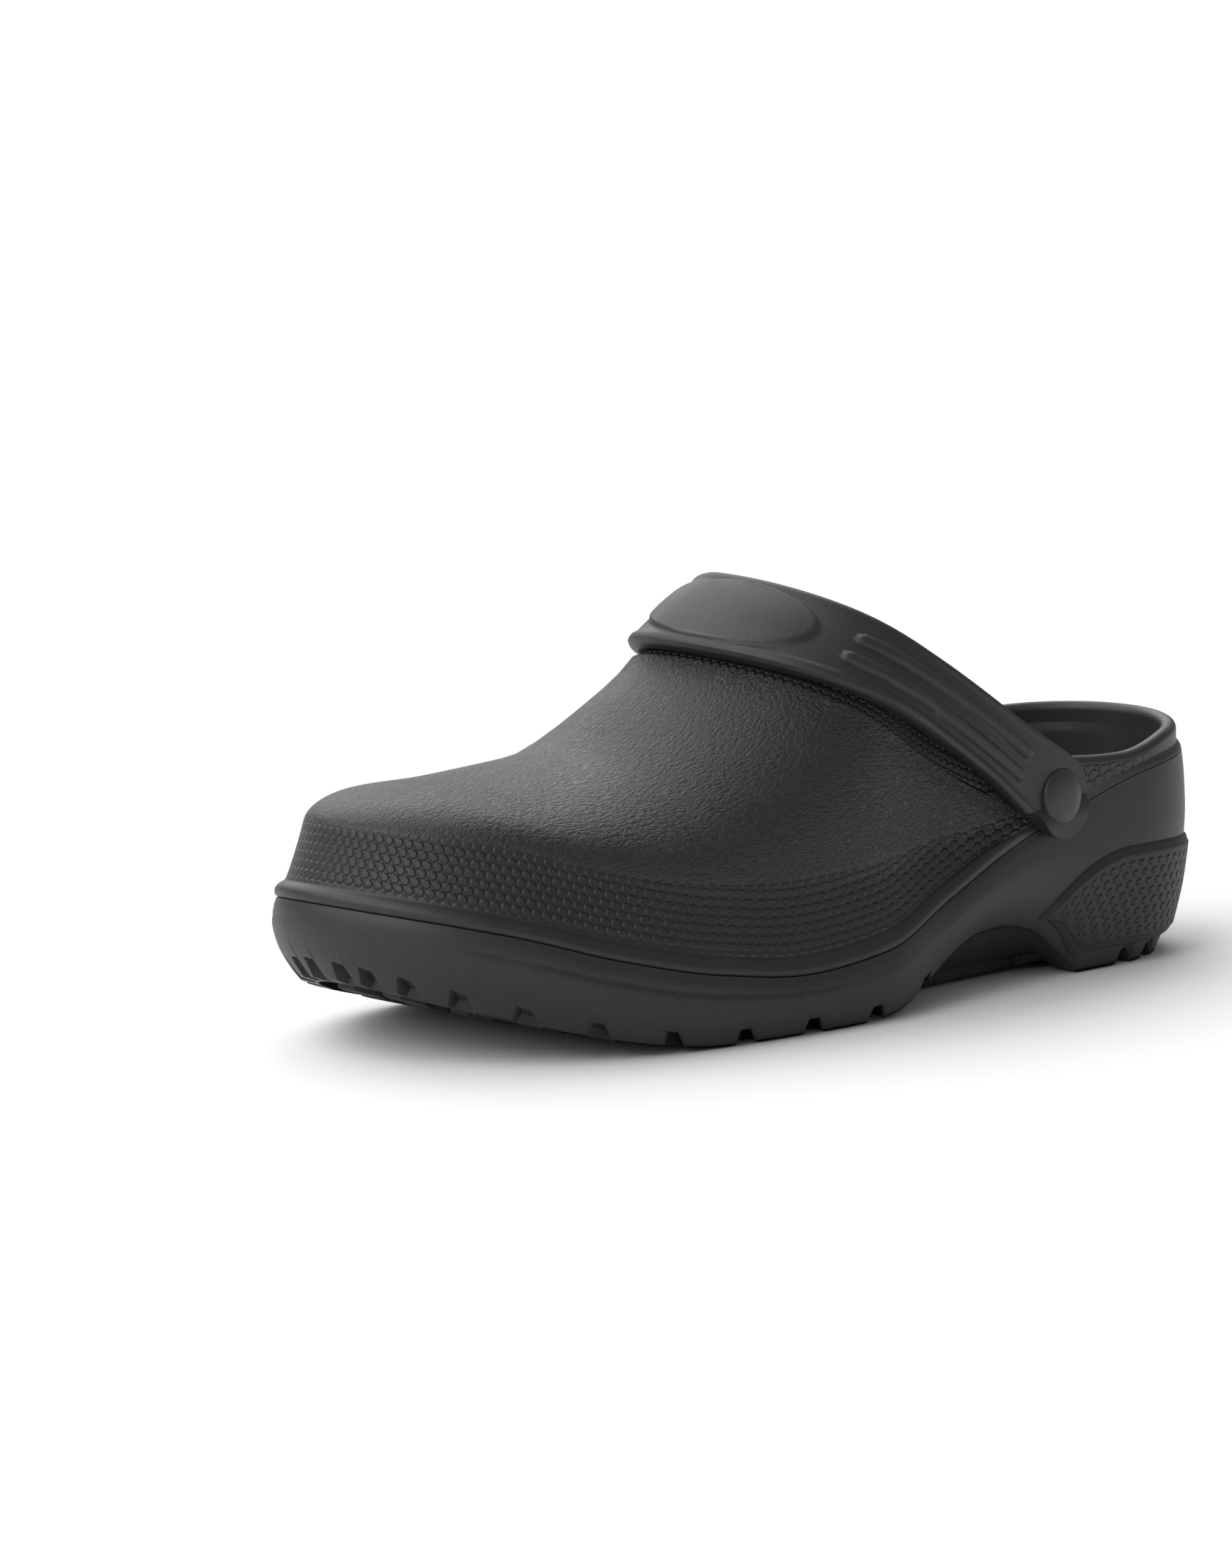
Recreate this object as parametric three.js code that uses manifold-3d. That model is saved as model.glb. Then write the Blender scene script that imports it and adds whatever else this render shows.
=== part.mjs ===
// A moulded foam kitchen clog for the left foot, in millimetres, +Z up.
// The toe points along +X and the outer side of the foot along +Y. The floor is z = 0.
// While it is modelled, x runs from 0 at the back of the heel to LENGTH at the toe.
import * as THREE from "three";
import { mergeVertices } from "three/addons/utils/BufferGeometryUtils.js";
import Module from "manifold-3d";

const wasm = await Module();
wasm.setup();

// Overall sizes.
const LENGTH = 297;
const BALL_WIDTH = 110;
const CROWN_HEIGHT = 106; // reference height for the sections of the upper
const COLLAR_HEIGHT = 57; // rim of the collar beside the heel, before it rolls over
const TOE_SPRING = 22; // lift of the sole under the tip of the toe
const HEEL_BEVEL = 5; // lift of the sole under the back of the heel
const ARCH_HEIGHT = 16; // top of the cut-out under the waist
const TOE_ROUND = 74; // length over which the toe rounds in
const HEEL_ROUND = 46; // length over which the heel rounds in
const TUCK = { toe: 3.5, heel: 4 }; // how far the side wall tucks in under toe and heel
const UNDERCUT = 3.2; // how far the side wall draws in at its foot
const STEP_INSET = 8.5; // how far the line of the step lies inside the sole outline at the ball
const GAP = 0.3; // clearance between pieces that meet

// The moulded body: wall, floor, bead above the parting line, step above it.
const WALL = 4.2;
const BEAD = { height: 4.4, out: 1.1, from: 76, full: 112 };
const GROOVE = 0.5;
// Floor inside: heights above the tread, and how far its edge lies inside the sole outline.
const FLOOR = { heel: 32, forefoot: 14, edge: 11, fillet: 4, turn: 2, cuff: 4 };
// The upper steps in behind a crest line that climbs from beside the rivet to the throat.
const CREST = { x: 90, above: 0.65, slope: 27.7, depth: 1.5, from: 84, full: 104 };
// Raised panel round the heel.
const PANEL = {
  rise: 1.3,
  sink: 2,
  bevel: 1.1,
  peak: 46,
  height: 32.5,
  back: 30,
  low: 5.5,
  front: 84,
  corner: 17,
  foot: 70,
};

// Outsole and the foam skirt round it.
const TREAD = 7; // whole thickness, plate and lugs
const PLATE = 3;
const PLATE_PLAY = 0.45; // clearance round the plate
const SKIRT = 9;
const SKIRT_LIFT = 0.4; // how far the skirt stays off the floor
const SHANK = 24; // half width of the outsole under the waist
const SHANK_LIFT = 1;
const LUG = { radius: 7.2, pitch: 16.6, sides: 6, root: 1.4, room: 0.6 };
const NOTCH = { depth: 4, mouth: 3.6, top: 1.9, reach: 7, slope: 1.5, over: 4 };

// Strap and its two rivets.
const STRAP = { thick: 3.8, reach: 101, tilt: 31.1, bow: 2.4, end: 10.9, lip: 0.7, gap: 0.6 };
const RIVET = { x: 80, above: 2.75, cap: 7.6, ring: 1.1, sunk: 1.7, rise: 1.7, shank: 3.4, play: 0.4 };
const RIVET_HEAD = { radius: 6.2, thick: 1.8, clear: 0.85 };
const RIB = { height: 1.2, width: 1.7, spread: 3.2, from: 14, to: 82 };
const BADGE = { length: 31, width: 9.4, rise: 1.1, root: 1.8, shift: -4.2 }; // half sizes of the plain oval

// Insole.
const INSOLE = { thick: 5, lip: 1.6, play: 0.5 };

// Plan of the shoe. at is a share of LENGTH; centre, lateral and medial are shares of BALL_WIDTH
// from the axis; inset, a share of STEP_INSET, is how far in the line of the step lies.
const PLAN = [
  { at: 0.0, centre: 0.0, lateral: 0.356, medial: 0.356, inset: 0.33 },
  { at: 0.12, centre: 0.0, lateral: 0.362, medial: 0.362, inset: 0.24 },
  { at: 0.26, centre: 0.005, lateral: 0.378, medial: 0.366, inset: 0.19 },
  { at: 0.34, centre: 0.009, lateral: 0.398, medial: 0.37, inset: 0.42 },
  { at: 0.42, centre: 0.013, lateral: 0.43, medial: 0.38, inset: 0.75 },
  { at: 0.52, centre: 0.014, lateral: 0.495, medial: 0.412, inset: 0.94 },
  { at: 0.62, centre: 0.004, lateral: 0.512, medial: 0.468, inset: 1 },
  { at: 0.72, centre: -0.012, lateral: 0.515, medial: 0.495, inset: 1 },
  { at: 0.82, centre: -0.035, lateral: 0.5, medial: 0.48, inset: 1 },
  { at: 0.91, centre: -0.058, lateral: 0.48, medial: 0.45, inset: 0.94 },
  { at: 1.0, centre: -0.075, lateral: 0.46, medial: 0.42, inset: 0.88 },
];
// Heights above the floor as shares of CROWN_HEIGHT: parting line, line of the step, crown.
const HEIGHTS = [
  { at: 0.0, parting: 0.525, band: 0.535, crown: 0.95 },
  { at: 0.12, parting: 0.5, band: 0.513, crown: 1.02 },
  { at: 0.26, parting: 0.405, band: 0.445, crown: 1.1 },
  { at: 0.34, parting: 0.335, band: 0.415, crown: 1.1 },
  { at: 0.42, parting: 0.255, band: 0.392, crown: 1.09 },
  { at: 0.52, parting: 0.173, band: 0.36, crown: 0.98 },
  { at: 0.62, parting: 0.15, band: 0.362, crown: 0.785 },
  { at: 0.72, parting: 0.18, band: 0.385, crown: 0.648 },
  { at: 0.82, parting: 0.24, band: 0.443, crown: 0.632 },
  { at: 0.91, parting: 0.315, band: 0.517, crown: 0.652 },
  { at: 1.0, parting: 0.375, band: 0.56, crown: 0.66 },
];
// How far the ridge of the upper lies to the lateral side of the middle, as shares of BALL_WIDTH.
const RIDGE = [
  { at: 0.0, shift: 0 },
  { at: 0.35, shift: -0.05 },
  { at: 0.52, shift: -0.1 },
  { at: 0.66, shift: -0.08 },
  { at: 0.82, shift: -0.05 },
  { at: 1.0, shift: 0 },
];
// The rim of the collar in side view, as shares of LENGTH and COLLAR_HEIGHT.
const TOPLINE = [
  { at: 0.0, rim: 1.06 },
  { at: 0.08, rim: 1.03 },
  { at: 0.16, rim: 0.97 },
  { at: 0.23, rim: 0.99 },
  { at: 0.3, rim: 1.15 },
  { at: 0.4, rim: 1.5 },
  { at: 0.5, rim: 1.81 },
  { at: 0.57, rim: 1.94 },
];
// The lower edge of the side wall over the waist, as shares of LENGTH and ARCH_HEIGHT.
const ARCH = [
  { at: 0.222, rise: 0 },
  { at: 0.25, rise: 0.42 },
  { at: 0.285, rise: 0.84 },
  { at: 0.33, rise: 1 },
  { at: 0.362, rise: 0.98 },
  { at: 0.395, rise: 0.82 },
  { at: 0.432, rise: 0.5 },
  { at: 0.465, rise: 0.22 },
  { at: 0.5, rise: 0.06 },
  { at: 0.54, rise: 0 },
];
// How far the side wall draws in, as a share of UNDERCUT, against its own height.
const WALL_PROFILE = [
  { at: 0, draw: 1 },
  { at: 0.16, draw: 0.5 },
  { at: 0.36, draw: 0.125 },
  { at: 0.6, draw: 0 },
  { at: 0.85, draw: 0.22 },
  { at: 1, draw: 0.47 },
];
// Half width of the strap as a share of STRAP.end, against the share of its reach.
const STRAP_WIDTH = [
  { at: 0, half: 1 },
  { at: 0.12, half: 0.94 },
  { at: 0.3, half: 0.86 },
  { at: 0.6, half: 0.92 },
  { at: 0.85, half: 1.08 },
  { at: 1, half: 1.2 },
];
// Section of the strap: at is a share of its half width, out a share of STRAP.lip.
const STRAP_SECTION = [
  { at: -1, out: -2 },
  { at: -0.95, out: 0.3 },
  { at: -0.84, out: 1 },
  { at: -0.68, out: 0 },
  { at: 0, out: 0 },
  { at: 0.72, out: 0 },
  { at: 0.86, out: 0.7 },
  { at: 0.96, out: 0 },
  { at: 1, out: -2 },
];
// Notches in the skirt: distance apart along its edge, from the tip of the toe backwards.
const TOE_NOTCHES = { first: 6, near: 9, far: 24, count: 11 };
const HEEL_NOTCHES = { first: 26, apart: 13, count: 4 };

const clamp = (v, low = 0, high = 1) => Math.min(high, Math.max(low, v));
const mix = (a, b, t) => a + (b - a) * t;
const smooth = (a, b, v) => {
  const t = clamp((v - a) / (b - a));
  return t * t * (3 - 2 * t);
};

// A smooth curve through one column of a table: cubic Hermite pieces, flat beyond the ends.
function curve(table, column) {
  const xs = table.map((row) => row.at);
  const ys = table.map((row) => row[column]);
  const last = xs.length - 1;
  const step = xs.slice(1).map((x, i) => (ys[i + 1] - ys[i]) / (x - xs[i]));
  const slope = xs.map((_, i) => {
    if (i === 0 || i === last) return i === 0 ? step[0] : step[last - 1];
    return step[i - 1] * step[i] <= 0 ? 0 : (2 * step[i - 1] * step[i]) / (step[i - 1] + step[i]);
  });
  return (x) => {
    if (x <= xs[0]) return ys[0];
    if (x >= xs[last]) return ys[last];
    let i = 0;
    while (x > xs[i + 1]) i++;
    const h = xs[i + 1] - xs[i];
    const t = (x - xs[i]) / h;
    const a = ys[i] * (1 + 2 * t) + h * slope[i] * t;
    const b = ys[i + 1] * (3 - 2 * t) - h * slope[i + 1] * (1 - t);
    return a * (1 - t) * (1 - t) + b * t * t;
  };
}

const column = (table, name, size) => {
  const f = curve(table, name);
  return (x) => size * f(x / LENGTH);
};
const centre = column(PLAN, "centre", BALL_WIDTH);
const lateral = column(PLAN, "lateral", BALL_WIDTH);
const medial = column(PLAN, "medial", BALL_WIDTH);
const inset = column(PLAN, "inset", STEP_INSET);
const parting = column(HEIGHTS, "parting", CROWN_HEIGHT);
const band = column(HEIGHTS, "band", CROWN_HEIGHT);
const crown = column(HEIGHTS, "crown", CROWN_HEIGHT);
// The crest line starts over the band line, and so do the rivets.
const CREST_Z = band(CREST.x) + CREST.above;
const RIVET_Z = band(RIVET.x) + RIVET.above;
const ridgeShift = column(RIDGE, "shift", BALL_WIDTH);
const topline = column(TOPLINE, "rim", COLLAR_HEIGHT);
const arch = column(ARCH, "rise", ARCH_HEIGHT);
const draw = curve(WALL_PROFILE, "draw");
const wallOut = (share) => -UNDERCUT * draw(share);

// Height of the tread surface: flat under heel and ball, lifted at the toe and the back of the heel.
const SPRING_FROM = 0.7;
const BEVEL_TO = 0.1;
function ground(x) {
  const toe = clamp((x / LENGTH - SPRING_FROM) / (1 - SPRING_FROM));
  const heel = clamp((BEVEL_TO - x / LENGTH) / BEVEL_TO);
  return TOE_SPRING * toe ** 1.7 + HEEL_BEVEL * heel ** 2;
}
const edge = (x) => ground(x) + SKIRT_LIFT + arch(x);
// The lower part of the side wall tucks in under the toe and the heel.
function wallAt(x, share) {
  const toe = TUCK.toe * smooth(0.78 * LENGTH, LENGTH, x);
  const heel = TUCK.heel * smooth(0.14 * LENGTH, 0, x);
  return wallOut(share) - (toe + heel) * (1 - share) ** 2;
}
const archShare = (x) => clamp(arch(x) / (0.25 * ARCH_HEIGHT));

// Stations from heel to toe, s from 0 to 1: the part behind QUARTER has the same x in every loop.
const QUARTER = 86;
const QUARTER_S = 0.4;
function station(s, from, to) {
  if (s <= QUARTER_S)
    return from + (QUARTER - from) * (1 - Math.cos(((Math.PI / 2) * s) / QUARTER_S));
  return QUARTER + (to - QUARTER) * Math.sin(((Math.PI / 2) * (s - QUARTER_S)) / (1 - QUARTER_S));
}

// How much of the half width is left where an outline between two ends rounds in, 1 in between.
function rounding(x, from, to) {
  const toe = clamp((x - (to - TOE_ROUND)) / TOE_ROUND);
  const heel = clamp((from + HEEL_ROUND - x) / HEEL_ROUND);
  return (1 - toe ** 2.7) * (1 - heel ** 2.4);
}

// The plan outline moved out by a distance: the y of one side (+1 lateral, -1 medial) at x.
function outlineY(x, side, out, from, to) {
  const half = (side > 0 ? lateral(x) : medial(x)) + out;
  return centre(x) + side * half * Math.sqrt(rounding(x, from, to));
}

const HALF = 30; // stations from heel to toe on one side
const AROUND = 2 * HALF;
// A closed loop of points from a function of station and side.
function loop(point) {
  return Array.from({ length: AROUND }, (_, i) => {
    const side = i <= HALF ? 1 : -1;
    const s = (i <= HALF ? i : AROUND - i) / HALF;
    return point(s, side);
  });
}
// A loop on the outline moved out by out(x), at height z(x).
function level(out, z) {
  const from = -out(0);
  const to = LENGTH + out(LENGTH);
  return loop((s, side) => {
    const x = station(s, from, to);
    return [x, outlineY(x, side, out(x), from, to), z(x)];
  });
}
// The centre line of a disc, doubled so that it closes a skin. It stops short of the disc's ends.
const SPINE_SHORT = 24;
const BED_SHORT = 18;
function spine(out, z, wide = SPINE_SHORT) {
  const from = -out(0) + wide;
  const to = LENGTH + out(LENGTH) - wide;
  return loop((s) => {
    const x = station(s, from, to);
    return [x, centre(x), z(x)];
  });
}

// Vector helpers on plain triples.
const minus = (a, b) => [a[0] - b[0], a[1] - b[1], a[2] - b[2]];
const addScaled = (a, b, k) => [a[0] + b[0] * k, a[1] + b[1] * k, a[2] + b[2] * k];
const crossed = (a, b) => [
  a[1] * b[2] - a[2] * b[1],
  a[2] * b[0] - a[0] * b[2],
  a[0] * b[1] - a[1] * b[0],
];
const unit = (a) => {
  const l = Math.hypot(...a) || 1;
  return [a[0] / l, a[1] / l, a[2] / l];
};

// Closes rows of loops into one mesh. The first and last rows are doubled centre lines.
// Each quad is split along the diagonal whose middle errs less, or along the shorter one.
const EVEN = 0.01;
function skin(rows, errorAt = () => 0) {
  const n = rows[0].length;
  const positions = rows.flat(2);
  const index = [];
  for (let r = 0; r + 1 < rows.length; r++)
    for (let i = 0; i < n; i++) {
      const a = r * n + i;
      const b = r * n + ((i + 1) % n);
      const [p, q] = [rows[r][i], rows[r][(i + 1) % n]];
      const [u, v] = [rows[r + 1][i], rows[r + 1][(i + 1) % n]];
      const shorter = Math.hypot(...minus(q, u)) - Math.hypot(...minus(p, v));
      const errs = (a1, b1) => Math.abs(errorAt(r, addScaled(a1, minus(b1, a1), 0.5)));
      const nearer = errs(q, u) - errs(p, v);
      if ((Math.abs(nearer) > EVEN ? nearer : shorter) >= 0)
        index.push(a, b, b + n, a, b + n, a + n);
      else index.push(a, b, a + n, b, b + n, a + n);
    }
  const geometry = new THREE.BufferGeometry();
  geometry.setAttribute("position", new THREE.Float32BufferAttribute(positions, 3));
  geometry.setIndex(index);
  return geometry;
}

// Boolean helpers.
function solid(geometry) {
  const bare = new THREE.BufferGeometry();
  bare.setAttribute("position", geometry.getAttribute("position").clone());
  if (geometry.index) bare.setIndex(geometry.index.clone());
  const merged = mergeVertices(bare, 1e-4);
  const triangles = [];
  const v = merged.index.array;
  for (let i = 0; i < v.length; i += 3)
    if (v[i] !== v[i + 1] && v[i + 1] !== v[i + 2] && v[i] !== v[i + 2])
      triangles.push(v[i], v[i + 1], v[i + 2]);
  const made = new wasm.Manifold(
    new wasm.Mesh({
      numProp: 3,
      vertProperties: merged.attributes.position.array,
      triVerts: new Uint32Array(triangles),
    }),
  );
  if (made.volume() > 0) return made;
  for (let i = 0; i < triangles.length; i += 3)
    [triangles[i + 1], triangles[i + 2]] = [triangles[i + 2], triangles[i + 1]];
  return new wasm.Manifold(
    new wasm.Mesh({
      numProp: 3,
      vertProperties: merged.attributes.position.array,
      triVerts: new Uint32Array(triangles),
    }),
  );
}
function geometryOf(made) {
  const mesh = made.getMesh();
  const geometry = new THREE.BufferGeometry();
  const positions = [];
  for (let i = 0; i < mesh.numVert; i++)
    positions.push(...mesh.vertProperties.subarray(i * mesh.numProp, i * mesh.numProp + 3));
  geometry.setAttribute("position", new THREE.Float32BufferAttribute(positions, 3));
  geometry.setIndex(new THREE.BufferAttribute(mesh.triVerts, 1));
  geometry.computeVertexNormals();
  return geometry;
}

// The vamp and quarters above the band line: a surface over the plan, rounded like a last.
const FULLNESS = { back: 2.9, front: 2.15, from: 0.46, to: 0.66 };
const BAND_FROM = inset(0);
const BAND_TO = LENGTH - inset(LENGTH);
const bandRound = (x) => rounding(x, BAND_FROM, BAND_TO);
const fullness = (x) =>
  mix(FULLNESS.back, FULLNESS.front, smooth(FULLNESS.from * LENGTH, FULLNESS.to * LENGTH, x));
const ridge = (x) => centre(x) + ridgeShift(x) * bandRound(x);
const bandY = (x, side) => outlineY(x, side, -inset(x), BAND_FROM, BAND_TO);
// How far out a point of the plan lies, squared: it equals bandRound(x) on the band line.
function spread(x, y) {
  const side = y > ridge(x) ? 1 : -1;
  const half = (side > 0 ? lateral(x) : medial(x)) - inset(x);
  return ((y - ridge(x)) / (half - side * ridgeShift(x) * Math.sqrt(bandRound(x)))) ** 2;
}
function shellZ(x, y) {
  const left = Math.max(0, bandRound(x) - spread(x, y));
  return band(x) + (crown(x) - band(x)) * left ** (1 / fullness(x));
}
// Outward normal of the shell, the slope of the function that is zero on it.
function shellNormal([x, y, z]) {
  const d = 0.05;
  const value = (px, py, pz) => {
    const high = Math.max(0, pz - band(px)) / (crown(px) - band(px));
    return high ** fullness(px) + spread(px, py) - bandRound(px);
  };
  return unit([
    value(x + d, y, z) - value(x - d, y, z),
    value(x, y + d, z) - value(x, y - d, z),
    value(x, y, z + d) - value(x, y, z - d),
  ]);
}
// How far across, 0 at the ridge and 1 at the band line, the shell passes height z.
function shellAcross(x, z) {
  const top = (crown(x) - band(x)) * bandRound(x) ** (1 / fullness(x));
  const share = clamp((z - band(x)) / Math.max(top, 1e-6));
  return Math.sqrt(1 - share ** fullness(x));
}
// Where the topline meets the ridge between two stations, the first of them inside the collar.
function topMeetsRidge(inside, outside) {
  for (let i = 0; i < 40; i++) {
    const x = (inside + outside) / 2;
    if (topline(x) < shellZ(x, ridge(x))) inside = x;
    else outside = x;
  }
  return inside;
}
const THROAT = topMeetsRidge(0.4 * LENGTH, 0.7 * LENGTH);
const RIM_FROM = topMeetsRidge(0.1 * LENGTH, BAND_FROM);

// A point of the shell: s along the shoe, share from 0 at the band line to 1 at the rim.
function shellPoint(s, side, share) {
  const bandX = station(s, BAND_FROM, BAND_TO);
  const rimX = station(s, RIM_FROM, THROAT);
  const across = shellAcross(rimX, topline(rimX));
  const rimY = ridge(rimX) + (bandY(rimX, side) - ridge(rimX)) * across;
  // By angle round the section, for the quarters.
  const x1 = mix(bandX, rimX, share);
  const angle = share * Math.acos(across);
  const y1 = ridge(x1) + (bandY(x1, side) - ridge(x1)) * Math.cos(angle);
  // In plan from the band line to the rim, for the front: straight at the toe, else by share of
  // the width.
  const along = share ** 2.3;
  const x2 = mix(bandX, rimX, along);
  const straight = mix(bandY(bandX, side), rimY, along);
  const even = ridge(x2) + (bandY(x2, side) - ridge(x2)) * mix(1, across, along);
  const y2 = mix(even, straight, smooth(0.7, 0.92, s));
  const front = smooth(0.42, 0.84, s);
  const x = mix(x1, x2, front);
  const y = mix(y1, y2, front);
  return [x, y, shellZ(x, y)];
}

const beadFade = (x) => smooth(BEAD.from, BEAD.full, x);
const floor = (x) =>
  0.9 * ground(x) + mix(FLOOR.heel, FLOOR.forefoot, smooth(0.2 * LENGTH, 0.62 * LENGTH, x));
// Half widths of the pocket for the outsole: in from the side wall, and narrow under the waist.
function treadOut(x) {
  const half = Math.min(lateral(x), medial(x));
  const skirt = -SKIRT + 0.6 * (wallAt(x, 0) - wallOut(0));
  return mix(skirt, Math.min(skirt, SHANK - half), archShare(x));
}

// Height over the crest line in side view, above zero behind it.
const CREST_ANGLE = (CREST.slope * Math.PI) / 180;
const behindCrest = (p) =>
  (p[2] - CREST_Z) * Math.cos(CREST_ANGLE) - (p[0] - CREST.x) * Math.sin(CREST_ANGLE);
// Share of one column of the shell at which it crosses the crest line.
function crestShare(s, side) {
  let [low, high] = [0.25, 0.82];
  if (behindCrest(shellPoint(s, side, low)) > 0) return low;
  if (behindCrest(shellPoint(s, side, high)) < 0) return high;
  for (let i = 0; i < 20; i++) {
    const middle = (low + high) / 2;
    if (behindCrest(shellPoint(s, side, middle)) < 0) low = middle;
    else high = middle;
  }
  return low;
}

function bodyGeometry() {
  const wall = (share) =>
    level(
      (x) => wallAt(x, share),
      (x) => mix(edge(x), parting(x), share),
    );
  const beadTop = (x) =>
    parting(x) + mix(0.25 * (band(x) - parting(x)), BEAD.height, beadFade(x));
  const beadInset = (x) => mix(wallOut(1), -0.4 * inset(x), beadFade(x));
  const bead = (share, out) =>
    level(
      (x) => mix(wallOut(1), beadInset(x), share) + out * beadFade(x),
      (x) => mix(parting(x), beadTop(x), share),
    );
  const bandRow = (share) =>
    level(
      (x) => mix(beadInset(x), -inset(x), share) - GROOVE * beadFade(x),
      (x) => mix(beadTop(x), band(x), share),
    );
  const pocketTop = (x) => ground(x) + TREAD;
  const under = [
    spine(treadOut, pocketTop),
    level(treadOut, pocketTop),
    level(treadOut, (x) => ground(x) + SKIRT_LIFT + 4 * archShare(x)),
    level(
      (x) => mix(treadOut(x), wallAt(x, 0), 0.45),
      (x) => ground(x) + SKIRT_LIFT + 0.62 * arch(x) + 1.5 * archShare(x),
    ),
    level(
      (x) => mix(treadOut(x), wallAt(x, 0), 0.8),
      (x) => ground(x) + SKIRT_LIFT + 0.95 * arch(x),
    ),
  ];
  const side = [0, 0.1, 0.28, 0.6, 1].map(wall);
  const beads = [bead(0.03, 0), bead(0.3, BEAD.out), bead(0.7, BEAD.out), bead(1, 0)];
  const bands = [0.04, 0.96].map(bandRow);
  // Rows below the crest line and rows behind it.
  const before = [0, 0.15, 0.32, 0.52, 0.76, 1];
  const after = [0.14, 0.57, 1];
  const shell = [
    ...before.map((t) => loop((s, k) => shellPoint(s, k, t * crestShare(s, k)))),
    ...after.map((t) => loop((s, k) => shellPoint(s, k, mix(crestShare(s, k), 1, t)))),
  ];
  const drop = (p) =>
    CREST.depth * smooth(CREST.from, CREST.full, p[0]) * smooth(-1, 1, behindCrest(p));
  const outer = shell.map((row, r) =>
    row.map((p) => addScaled(p, shellNormal(p), r < before.length ? 0 : -drop(p))),
  );
  // The rim rolls over in a half circle from the outer face to the inner one.
  const rim = shell[shell.length - 1];
  const roll = [35, 90, 145].map((degrees) => {
    const a = (degrees * Math.PI) / 180;
    return rim.map((p, i) => {
      const normal = shellNormal(p);
      const radius = (WALL - drop(p)) / 2;
      const along = minus(rim[(i + 1) % AROUND], rim[(i + AROUND - 1) % AROUND]);
      const raised = addScaled(p, unit(crossed(along, normal)), radius * Math.sin(a));
      return addScaled(raised, normal, -drop(p) - radius * (1 - Math.cos(a)));
    });
  });
  const inner = shell
    .filter((_, r) => r % 2 === 0)
    .map((row) => row.map((p) => addScaled(p, shellNormal(p), -WALL)))
    .reverse();
  // Below the band line the wall stays thin, then turns into the floor.
  const cuff = (share, turned) =>
    level(
      (x) => mix(-inset(x) - WALL, FLOOR.turn - FLOOR.edge, turned),
      (x) => mix(band(x), floor(x) + FLOOR.cuff, share),
    );
  const lower = [
    cuff(0.1, 0.04),
    cuff(0.45, 0.15),
    cuff(0.9, 0.9),
    level(
      () => -FLOOR.edge,
      (x) => floor(x) + FLOOR.turn,
    ),
    level(() => -FLOOR.edge - FLOOR.fillet, floor),
    spine(() => -FLOOR.edge - FLOOR.fillet, floor, BED_SHORT),
  ];
  const below = [...under, ...side, ...beads, ...bands];
  const offShell = (row, p) => {
    const dropped = row < below.length + before.length ? 0 : drop(p);
    const onShell = row >= below.length && row + 1 < below.length + outer.length;
    return onShell ? p[2] + dropped - shellZ(p[0], p[1]) : 0;
  };
  return skin([...below, ...outer, ...roll, ...inner, ...lower], offShell);
}

// The panel round the heel, a thick sheet that follows the side wall.
function panelGeometry() {
  const top = (x) =>
    x > PANEL.peak
      ? mix(PANEL.height, PANEL.corner, ((x - PANEL.peak) / (PANEL.front - PANEL.peak)) ** 2)
      : mix(PANEL.height, PANEL.back, (1 - x / PANEL.peak) ** 2);
  const start = (share) => mix(PANEL.foot, PANEL.front, share);
  const count = 32;
  const sheet = (out, grow) => {
    const rows = [];
    for (const share of [0, 0.12, 0.5, 0.88, 1])
      rows.push(
        Array.from({ length: count + 1 }, (_, i) => {
          const t = (2 * i) / count - 1;
          const side = t < 0 ? -1 : 1;
          let stands = wallAt(0, 0.5) + out;
          let [x, z] = [0, 0];
          for (let pass = 0; pass < 3; pass++) {
            const swing = 1 - Math.cos((Math.abs(t) * Math.PI) / 2);
            x = (start(share) + grow + stands) * swing - stands;
            z = mix(PANEL.low - grow, top(x) + grow, share);
            stands = wallAt(x, clamp((z - edge(x)) / (parting(x) - edge(x)))) + out;
          }
          return [x, outlineY(x, side, stands, -stands, LENGTH), z];
        }),
      );
    return rows;
  };
  return closed([sheet(-PANEL.sink, 0), sheet(0, 0), sheet(PANEL.rise, -PANEL.bevel)]);
}

// Closes a stack of sheets (grids of the same size) into one body: the first sheet is one face,
// the last is the other, and the edges of those between make the border.
function closed(sheets) {
  const rows = sheets[0].length;
  const columns = sheets[0][0].length;
  const positions = [];
  const index = [];
  const put = (grid, flip) => {
    const base = positions.length / 3;
    grid.forEach((row) => row.forEach((p) => positions.push(...p)));
    for (let r = 0; r + 1 < rows; r++)
      for (let c = 0; c + 1 < columns; c++) {
        const a = base + r * columns + c;
        const q = [a, a + 1, a + columns + 1, a, a + columns + 1, a + columns];
        index.push(...(flip ? q.reverse() : q));
      }
  };
  put(sheets[0], true);
  put(sheets[sheets.length - 1], false);
  const border = [];
  for (let c = 0; c < columns; c++) border.push([0, c]);
  for (let r = 1; r < rows; r++) border.push([r, columns - 1]);
  for (let c = columns - 2; c >= 0; c--) border.push([rows - 1, c]);
  for (let r = rows - 2; r > 0; r--) border.push([r, 0]);
  const base = positions.length / 3;
  sheets.forEach((grid) => border.forEach(([r, c]) => positions.push(...grid[r][c])));
  const n = border.length;
  for (let k = 0; k + 1 < sheets.length; k++)
    for (let i = 0; i < n; i++) {
      const a = base + k * n + i;
      const b = base + k * n + ((i + 1) % n);
      index.push(a, b, b + n, a, b + n, a + n);
    }
  const geometry = new THREE.BufferGeometry();
  geometry.setAttribute("position", new THREE.Float32BufferAttribute(positions, 3));
  geometry.setIndex(index);
  return geometry;
}

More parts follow.
